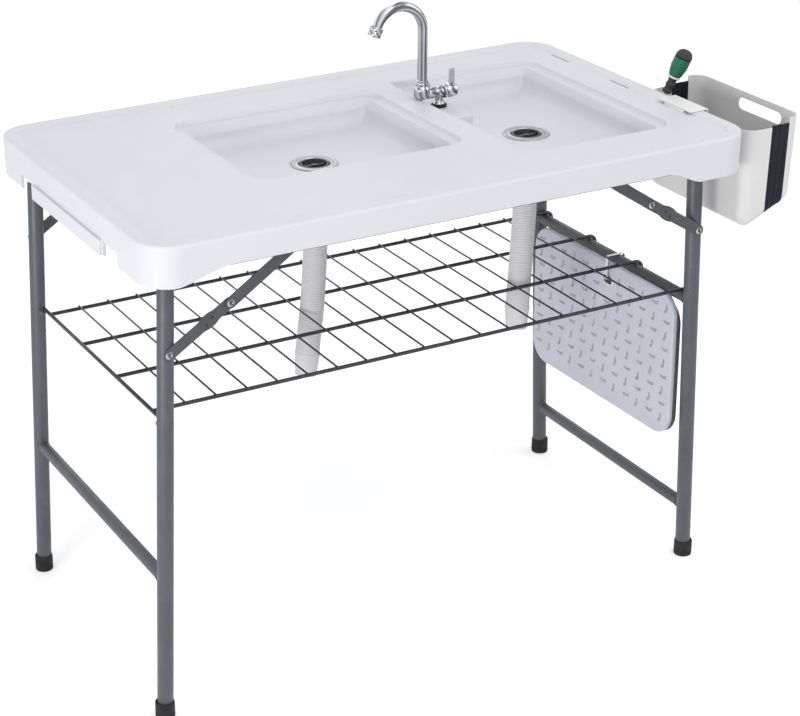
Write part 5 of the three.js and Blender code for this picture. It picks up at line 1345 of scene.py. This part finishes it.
@dataclass
class Stays:
    """The folding stays between one leg frame and the rails."""

    label: str
    side: int
    leg_y: float
    thick: float = 2.0
    half_width: float = 10.0
    leg_pin_z: float = 675.0
    knee: Pair = (420.0, 744.0)
    rail: Pair = (297.0, 826.0)
    rail_y: float = 309.6
    stand_off: float = 14.3
    layer: float = 2.3
    head: Pair = (6.4, 1.75)

    def link(self, bm: Mesh, start: Pair, end: Pair, bulge: Pair, span: Pair) -> None:
        """Draws a flat link with round ends and a wider stretch.

        Args:
            bm: The mesh to add it to.
            start: The X and Z of its first pin.
            end: The X and Z of its last pin.
            bulge: Where along it the wider stretch lies, as a share, and its half width there.
            span: The Y of its two faces.
        """
        along = math.atan2(end[1] - start[1], end[0] - start[0])
        length = math.hypot(end[0] - start[0], end[1] - start[1])
        width = self.half_width
        line = []
        for pin, first, sign in ((end, -QUARTER_TURN, 1.0), (start, QUARTER_TURN, -1.0)):
            for step in range(13):
                angle = along + first + step / 12 * math.pi
                line.append((pin[0] + width * math.cos(angle), pin[1] + width * math.sin(angle), width))
            reach = [16.0, 12.0, 6.0, 0.0, -6.0, -12.0, -16.0]
            swell = [0.0, 0.4, 0.9, 1.0, 0.9, 0.4, 0.0]
            for offset, grown in zip(reach, swell):
                far = length * bulge[0] + offset * sign
                wide = width + (bulge[1] - width) * grown
                across = along + QUARTER_TURN * sign
                x = start[0] + far * math.cos(along) + wide * math.cos(across)
                z = start[1] + far * math.sin(along) + wide * math.sin(across)
                line.append((x, z, wide))
        low, high = span
        edge = 0.35
        rings = []
        for y, inset in ((low, edge), (low + edge, 0.0), (high - edge, 0.0), (high, edge)):
            middle = Vector(((start[0] + end[0]) / 2, 0.0, (start[1] + end[1]) / 2))
            ring = []
            for x, z, width in line:
                pull = (middle - Vector((x, 0.0, z))).normalized() * inset
                ring.append(Vector((x + pull.x, y, z + pull.z)))
            rings.append(ring)
        loft(bm, rings)

    def rivet(self, bm: Mesh, pin: Pair, y: float, way: int, radius: float, rise: float) -> None:
        """Draws a domed rivet head with a dimple.

        Args:
            bm: The mesh to add it to.
            pin: The X and Z of its middle.
            y: The Y of the face it sits on.
            way: The side that it faces.
            radius: Its radius.
            rise: Its height.
        """
        profile = [
            (0.0, -0.4), (radius, -0.4), (radius, rise * 0.35), (radius * 0.8, rise * 0.85),
            (radius * 0.55, rise), (radius * 0.42, rise), (radius * 0.3, rise * 0.55), (0.0, rise * 0.5),
        ]
        lathe(bm, profile, facing(Vector((pin[0], y, pin[1])), Vector((0, way, 0))), 28)

    def slot(self, bm: Mesh, pin: Pair, y: float, way: int, rise: float) -> None:
        """Draws a dark bar across a rivet head, painted shade that stands for its slot.

        Args:
            bm: The mesh to add it to.
            pin: The X and Z of the rivet's middle.
            y: The Y of the face under the rivet.
            way: The side that it faces.
            rise: How far it stands out.
        """
        place = Matrix.Translation((pin[0], y + way * rise * 0.5, pin[1]))
        turned = place @ Matrix.Rotation(0.9, 4, "Y") @ Matrix.Diagonal((7.4, rise, 1.5, 1.0))
        bmesh.ops.create_cube(bm, size=1.0, matrix=turned)

    def build(self) -> None:
        """Makes the four links and their rivets."""
        side = self.side
        leg = (side * leg_x(self.leg_pin_z), self.leg_pin_z)
        knee = (side * self.knee[0], self.knee[1])
        rail = (side * self.rail[0], self.rail[1])
        for label, way in (("front", -1), ("back", 1)):
            near = self.leg_y + self.stand_off
            lower = sorted((way * near, way * (near + self.thick)))
            upper = sorted((way * (near + self.layer), way * (near + 4.3)))
            body = f"{self.label}_lower_stays"
            name = f"{self.label}_{label}_lower"
            bm = bmesh.new()
            self.link(bm, leg, knee, (0.65, 12.9), lower)
            inner = Vector((leg[0], way * near, leg[1]))
            rod(bm, inner, Vector((leg[0], way * (near + 1.9), leg[1])), 6.0, 20, 0.2)
            settle(bm, Tag(f"{name}_link", body, "stay", STAY_COAT, (f"{name}_stay",)))
            bm = bmesh.new()
            self.rivet(bm, leg, way * (near + self.thick), way, *self.head)
            settle(bm, Tag(f"{self.label}_{label}_leg_rivet", body, "stay", RIVET_STEEL))
            bm = bmesh.new()
            # the slot bar and two flat discs are painted shade that stands for the rivet slot and the link's
            # holes
            self.slot(bm, leg, way * (near + 2.2), way, 1.55)
            for share, drop in ((0.70, 1.5), (0.61, -3.5)):
                self.rivet(bm, between(leg, knee, share, drop), way * (near + self.thick), way, 2.6, 0.3)
            settle(bm, Tag(f"{name}_holes", body, "stay", HOLE_SHADE))
            body = f"{self.label}_upper_stays"
            name = f"{self.label}_{label}_upper"
            bm = bmesh.new()
            self.link(bm, knee, rail, (0.5, 10.3), upper)
            pin = Vector((rail[0], 0.0, rail[1]))
            start, end = (pin + Vector((0, way * y, 0)) for y in (near + 2.4, self.rail_y))
            rod(bm, start, end, 3.95, 20, 0.3)
            for share in (0.3, 0.42):
                self.rivet(bm, between(knee, rail, share), way * (near + 4.3), way, 3.0, 0.5)
            settle(bm, Tag(f"{name}_link", body, "stay", STAY_COAT, (f"{name}_stay",)))
            bm = bmesh.new()
            self.rivet(bm, knee, way * (near + 4.3), way, *self.head)
            settle(bm, Tag(f"{self.label}_{label}_knee_rivet", body, "stay", RIVET_STEEL))
            bm = bmesh.new()
            # dark bar as painted shade for the knee rivet's slot
            self.slot(bm, knee, way * (near + 4.5), way, 1.55)
            settle(bm, Tag(f"{self.label}_{label}_knee_slot", body, "stay", HOLE_SHADE))


@dataclass
class WireShelf:
    """The welded wire shelf that hooks over the right frame's crossbar."""

    z: float = 548.0
    left_x: float = -531.0
    long_ys: tuple[float, ...] = (227.0, 76.0, -76.0, -227.0)
    count: int = 18
    pitch: float = 56.9
    radius: float = 3.45
    thin: float = 1.75
    crossbar_z: float = 533.2
    crossbar_radius: float = 11.0
    gap: float = 0.3
    wire: float = 3.5
    cross_reach: float = 231.0
    end_reach: float = 262.0

    def build(self) -> None:
        """Makes every wire of the shelf as one welded piece."""
        bm = bmesh.new()
        bar_x = leg_x(self.crossbar_z)
        hook = self.crossbar_radius + self.gap + self.wire
        bar_z = self.z - hook
        for y in self.long_ys:
            points = [Vector((self.left_x, y, self.z)), Vector((0.0, y, self.z))]
            for step in range(13):
                angle = QUARTER_TURN * (1 - step / 12)
                points.append(Vector((bar_x + hook * math.cos(angle), y, bar_z + hook * math.sin(angle))))
            points.append(Vector((bar_x + hook, y, bar_z - 6.4)))
            points.append(Vector((bar_x + hook, y, bar_z - 7.8)))
            radii = [self.radius] * (len(points) - 1) + [self.radius * 0.55]
            sweep(bm, stations(points, radii), 16)
        cross = self.z + self.wire + self.thin - 1.2
        reach, end_reach = Vector((0, self.cross_reach, 0)), Vector((0, self.end_reach, 0))
        for wire in range(self.count):
            x = self.left_x + (wire + 1) * self.pitch
            middle = Vector((x, 0, cross))
            rod(bm, middle - reach, middle + reach, self.thin, 12, 0.7)
            for y in self.long_ys:
                place = Matrix.Translation((x, y, self.z + 3.4)) @ Matrix.Diagonal((3.0, 2.6, 1.1, 1.0))
                bmesh.ops.create_icosphere(bm, subdivisions=1, radius=1.0, matrix=place)
        middle = Vector((self.left_x, 0, self.z))
        rod(bm, middle - end_reach, middle + end_reach, self.radius, 16, 1.2)
        settle(bm, Tag("welded_shelf", "shelf", "wire", WIRE_COAT, ("wire_shelf",)), 50.0)


@dataclass
class Boards:
    """A white board and a dark one that hang from the crossbar by a steel loop."""

    front_x: float = 511.87
    thick: float = 11.0
    rear_thick: float = 8.0
    half: float = 228.0
    top: float = 533.0
    height: float = 289.0
    rear_drop: float = 16.0
    tilt_deg: float = 0.8
    hole_y: float = -22.0
    hole_z: float = 497.0

    def slab(self, x: float, thick: float, drop: float) -> Mesh:
        """One board with round corners, soft edges and its hole.

        Args:
            x: The X of its front face.
            thick: Its thickness.
            drop: How far its top lies below the front board's.

        Returns:
            The board.
        """
        plan = Plan(-self.half, self.half, self.top - self.height, self.top - drop, 46.0, 12)
        turn = Matrix.Rotation(math.radians(-self.tilt_deg), 3, "X")
        pivot = Vector((0.0, self.hole_y, self.hole_z))
        rings = []
        soft = eased([(9.0, 0.0), (0.0, 0.0), (0.0, thick), (6.0, thick)], 4.6, 7)
        for inset, depth in soft:
            ring = []
            for point in plan.ring(inset, 0.0):
                placed = turn @ (Vector((0.0, point.x, point.y)) - pivot) + pivot
                ring.append(Vector((x + depth, placed.y, placed.z)))
            rings.append(ring)
        hole = [self.hole().standing(0.0, depth) for depth in (x - 20, x + thick + 20)]
        return worked(solid_of(rings), [(Cut.AWAY, solid_of(hole))])

    def marks(self) -> None:
        """Prints staggered plain dashes on the white board's face."""
        bm = bmesh.new()
        for column in range(12):
            for row in range(10):
                y = -207 + column * 37.2
                z = 505 - row * 27.6
                if z < 262 or (abs(y - self.hole_y) < 30 and abs(z - self.hole_z) < 24):
                    continue
                upright_mark = (row + column) % 2 == 0
                self.dash(bm, y, z, 0.10 if upright_mark else 1.72, 9.4)
                foot = (3.6, -8.0) if upright_mark else (-8.4, 1.6)
                self.dash(bm, y + foot[0], z + foot[1], 1.7 if upright_mark else 0.3, 4.4)
        settle(bm, Tag("board_dashes", "boards", "board", BOARD_MARKS))

    def dash(self, bm: Mesh, y: float, z: float, lean: float, half: float) -> None:
        """Draws one flat dash on the white board.

        Args:
            bm: The mesh to add it to.
            y: Its middle.
            z: Its middle.
            lean: Its turn away from upright.
            half: Its half length.
        """
        place = (
            Matrix.Translation((self.front_x - 0.02, y, z))
            @ Matrix.Rotation(lean, 4, "X")
            @ Matrix.Diagonal((0.14, 3.2, half, 1.0))
        )
        bmesh.ops.create_uvsphere(bm, u_segments=10, v_segments=4, radius=1.0, matrix=place)

    def hole(self) -> Plan:
        """The outline of the hole that the loop passes through."""
        return Plan(self.hole_y - 15, self.hole_y + 15, self.hole_z - 9, self.hole_z + 9, 8.8, 8)

    def grommet(self) -> None:
        """Makes the bright ring in the white board's hole."""
        section = [
            (0.2, -0.7), (-1.9, -0.7), (-2.4, 0.1), (-1.0, 0.3),
            (0.1, 0.4), (0.1, 10.4), (0.9, 10.4), (0.9, -0.2),
        ]
        rings = [self.hole().standing(inset, self.front_x + depth) for inset, depth in section]
        bm = loft(bmesh.new(), rings, looped=True)
        settle(bm, Tag("hole_ring", "boards", "strap", BRIGHT_STEEL), 50.0)

    def strap(self) -> None:
        """Makes the steel loop that carries both boards."""
        plan = Plan(508.87, 545.46, 505.7, 544.5, 3.0, 6)
        section = [(0.0, -3.4), (-1.6, -3.4), (-1.6, 3.4), (0.0, 3.4)]
        rings = [
            [Vector((p.x, self.hole_y + across, p.y)) for p in plan.ring(inset, 0.0)]
            for inset, across in section
        ]
        bm = soften(loft(bmesh.new(), rings, looped=True), 0.35, 50.0, 2)
        settle(bm, Tag("hanging_loop", "boards", "strap", BRIGHT_STEEL, ("board_strap",)), 50.0)

    def build(self) -> None:
        """Makes both boards and what holds them."""
        front = self.slab(self.front_x, self.thick, 0.0)
        settle(front, Tag("white_board", "boards", "board", BOARD_WHITE, ("cutting_board",)), 40.0, even=True)
        rear = self.slab(self.front_x + self.thick + 0.3, self.rear_thick, self.rear_drop)
        settle(rear, Tag("dark_board", "boards", "dark_board", BOARD_DARK, ("rear_board",)), 40.0, even=True)
        self.marks()
        self.grommet()
        self.strap()


@dataclass
class Bin:
    """The clip-on bin: two hard white halves, a pleated soft band and a hook over the rim."""

    plan: Plan = Plan(580.0, 700.0, -315.0, -22.0, 26.0, 12)
    bottom: float = 680.0
    flat_floor: float = 28.0
    rise: float = 42.0
    taper: float = 5.0
    rounding: float = 22.0
    inner_top: float = 865.0
    outer_top: float = 878.0
    band: Pair = (634.0, 672.0)
    band_top: float = 868.0
    wall: float = 2.4

    def tub(self, inset: float, crown: float) -> Mesh:
        """The bin's whole form, drawn in by an inset.

        Args:
            inset: How far inside the outer face it runs.
            crown: Its height above the rim, where it is a hollow.

        Returns:
            The closed solid.
        """
        rings = []
        steps = 8
        for step in range(steps + 1):
            angle = step / steps * QUARTER_TURN
            ring = self.plan.ring(
                self.taper + inset + self.rounding * (1 - math.sin(angle)),
                self.bottom + inset + self.rounding * (1 - math.cos(angle)),
            )
            reach = self.plan.max_x - self.plan.min_x - self.flat_floor
            for point in ring:
                point.z += self.rise * max(0.0, point.x - self.plan.min_x - self.flat_floor) / reach
            rings.append(ring)
        rings.append(self.plan.ring(inset, self.outer_top))
        if crown > self.outer_top:
            rings.append(self.plan.ring(inset, crown))
        return solid_of(rings)

    def shell(self, inset: float, wall: float, start: float, end: float, top: float) -> Mesh:
        """A slice of the hollow form.

        Args:
            inset: How far inside the outer face it runs.
            wall: Its wall thickness.
            start: The X where the slice starts.
            end: The X where it ends.
            top: The height of its rim.

        Returns:
            The slice.
        """
        cuts = [
            (Cut.AWAY, self.tub(inset + wall, self.outer_top + 20)),
            (Cut.WITHIN, box_of((start, -400, 600), (end, 60, top))),
        ]
        return worked(self.tub(inset, self.outer_top), cuts)

    def handle(self) -> Mesh:
        """The solid that cuts the hand slot."""
        plan = Plan(-262.0, -142.0, 844.0, 866.0, 10.8, 10)
        places = ((690.0, 0.0), (697.2, 0.0), (699.0, -0.6), (700.4, -2.2), (712.0, -2.2))
        return solid_of([plan.standing(inset, x) for x, inset in places])

    def hook(self) -> None:
        """Makes the white plate that hooks over the table's rim into a slot."""
        bm = box_of((541.35, -201.9, 875.32), (580.0, -106.1, 877.65), 0.8, 3)
        block(bm, (541.35, -182.4, 864.4), (543.65, -125.6, 877.0), 0.5, 2)
        block(bm, (577.8, -201.9, 855.4), (580.05, -106.1, 877.4), 0.7, 3)
        settle(bm, Tag("rim_hook", "bin", "clip", CLIP_WHITE, ("bin_hook",)))

    def build(self) -> None:
        """Makes the halves, the band with its pleats and the hook."""
        inner = self.shell(0.02, self.wall, 560.0, self.band[0], self.inner_top)
        soften(inner, 0.7, 60.0, 3)
        settle(inner, Tag("inner_shell", "bin", "bin_shell", BIN_WHITE, ("bin_inner_half",)), 40.0, even=True)
        outer = self.shell(0.02, self.wall, self.band[1], 730.0, self.outer_top - 0.05)
        outer = worked(outer, [(Cut.AWAY, self.handle())])
        soften(outer, 0.6, 60.0, 3)
        tag = Tag("outer_shell", "bin_outer", "bin_shell", BIN_WHITE, ("bin_outer_half",))
        settle(outer, tag, 40.0, even=True)
        first, last = self.band[0] + 0.3, self.band[1] - 0.3
        pleats = 6
        width = (last - first) / pleats
        band = bmesh.new()
        for pleat in range(pleats):
            start = first + pleat * width
            depth = 0.62 if pleat % 2 else 1.15
            part = self.shell(depth, 1.1, start, start + width + 0.01, self.band_top)
            mesh = bpy.data.meshes.new("rough")
            part.to_mesh(mesh)
            part.free()
            band.from_mesh(mesh)
            bpy.data.meshes.remove(mesh)
        piece = settle(band, Tag("pleated_band", "bin", "bin_band", BIN_SOFT, ("bin_band",)), 50.0)
        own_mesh(piece)
        self.hook()


@dataclass
class Tool:
    """The tool that stands in the bin, with a green grip, a black neck and a black cap."""

    rim: Point = (598.4, -55.0, 866.0)
    lean: Point = (0.33, -0.24, 1.0)

    def build(self) -> None:
        """Makes the blade, neck, ring, grip and cap."""
        along = Vector(self.lean).normalized()
        rim = Vector(self.rim)
        neck = eased([
            (0.0, 0.1), (8.9, 0.1), (8.9, 5.0), (7.2, 7.0), (7.2, 12.0),
            (8.4, 14.0), (8.4, 19.0), (7.0, 21.0), (8.9, 29.9), (0.0, 29.9),
        ], 1.2, 3)
        self.part("tool_collar", neck, rim, along, GRIP_BLACK, "grip_black", "tool_neck")
        ring = eased([(0.0, 0.1), (11.4, 0.1), (11.4, 3.9), (0.0, 3.9)], 1.2, 4)
        self.part("tool_pale_ring", ring, rim + along * 30.3, along, CLIP_WHITE, "clip", "tool_ring")
        grip = [(0.0, 0.05), (10.6, 0.05), (11.4, 1.6)]
        for rib in range(7):
            base = 3.4 + rib * 4.6
            swell = 12.2 + 3.6 * min(1.0, (rib + 1) / 4)
            grip += [(swell - 0.6, base), (swell, base + 1.4), (swell, base + 3.0), (swell - 0.7, base + 4.2)]
        grip += [(15.7, 36.4), (0.0, 36.95)]
        self.part("tool_ribbed_grip", grip, rim + along * 34.6, along, GRIP_GREEN, "grip", "tool_grip")
        cap = eased([(0.0, 0.05), (15.8, 0.05), (15.4, 4.9), (12.2, 11.2), (7.2, 14.8), (0.0, 14.9)], 2.6, 5)
        self.part("tool_dark_cap", cap, rim + along * 71.9, along, GRIP_BLACK, "grip_black", "tool_cap")
        bm = bmesh.new()
        middle = rim - along * 15.3
        place = facing(middle, along) @ Matrix.Diagonal((9.8, 1.9, 29.8, 1.0))
        bmesh.ops.create_cube(bm, size=1.0, matrix=place)
        soften(bm, 0.6, 40.0, 3)
        settle(bm, Tag("ground_blade", "tool", "blade", BRIGHT_STEEL, ("tool_blade",)))

    def part(
        self, name: str, profile: list[Pair], start: Vector, along: Vector, finish: Finish,
        slot: str, node: str,
    ) -> None:
        """Makes one turned part of the tool.

        Args:
            name: The piece's name.
            profile: Its pairs of radius and height.
            start: Where its foot is.
            along: The tool's direction.
            finish: Its finish.
            slot: Its material slot.
            node: The CAD node it stands for.
        """
        settle(turned(profile, facing(start, along), 40), Tag(name, "tool", slot, finish, (node,)), 40.0)


@dataclass
class KeptSolids:
    """The CAD solids that are shown as they are, with better finishes."""

    finishes: dict[str, Finish] = field(default_factory=lambda: {
        "front_rail": GREY_COAT, "back_rail": GREY_COAT, "faucet_lock_nut": NUT_PLASTIC,
    })

    def build(self) -> None:
        """Gives each kept solid its finish."""
        for name, finish in self.finishes.items():
            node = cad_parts[name]
            node.data.materials.clear()
            node.data.materials.append(finish.material())
            LOG.info("%s keeps its solid", name)


def main() -> None:
    """Builds the studio and every piece in order."""
    logging.basicConfig(level=logging.INFO, format="%(message)s")
    Studio().build()
    DrainHose("left", [
        (-84, 48, 792.7), (-84, 48, 745), (-89, 37, 672), (-99, 27, 590), (-104, 24, 548), (-114, 20, 486),
        (-121, 18, 424),
    ], 0.373).build()
    DrainHose("right", [
        (331, 2, 792.7), (331, 2, 745), (324, -11, 685), (305, -34, 605), (294, -46, 548), (290, -48, 500),
        (289, -48, 456),
    ], 0.345).build()
    TableTop().build()
    for label, place in DRAINS.items():
        Drain(label, *place).build()
    Faucet().build()
    LegFrame("left", -1, 283.0, (("lower_crossbar", 265.0),)).build()
    LegFrame("right", 1, 247.0, (("lower_crossbar", 107.0), ("shelf_crossbar", 533.2))).build()
    Stays("left", -1, 283.0).build()
    Stays("right", 1, 247.0).build()
    WireShelf().build()
    Boards().build()
    Bin().build()
    Tool().build()
    KeptSolids().build()


if __name__ == "__main__":
    main()
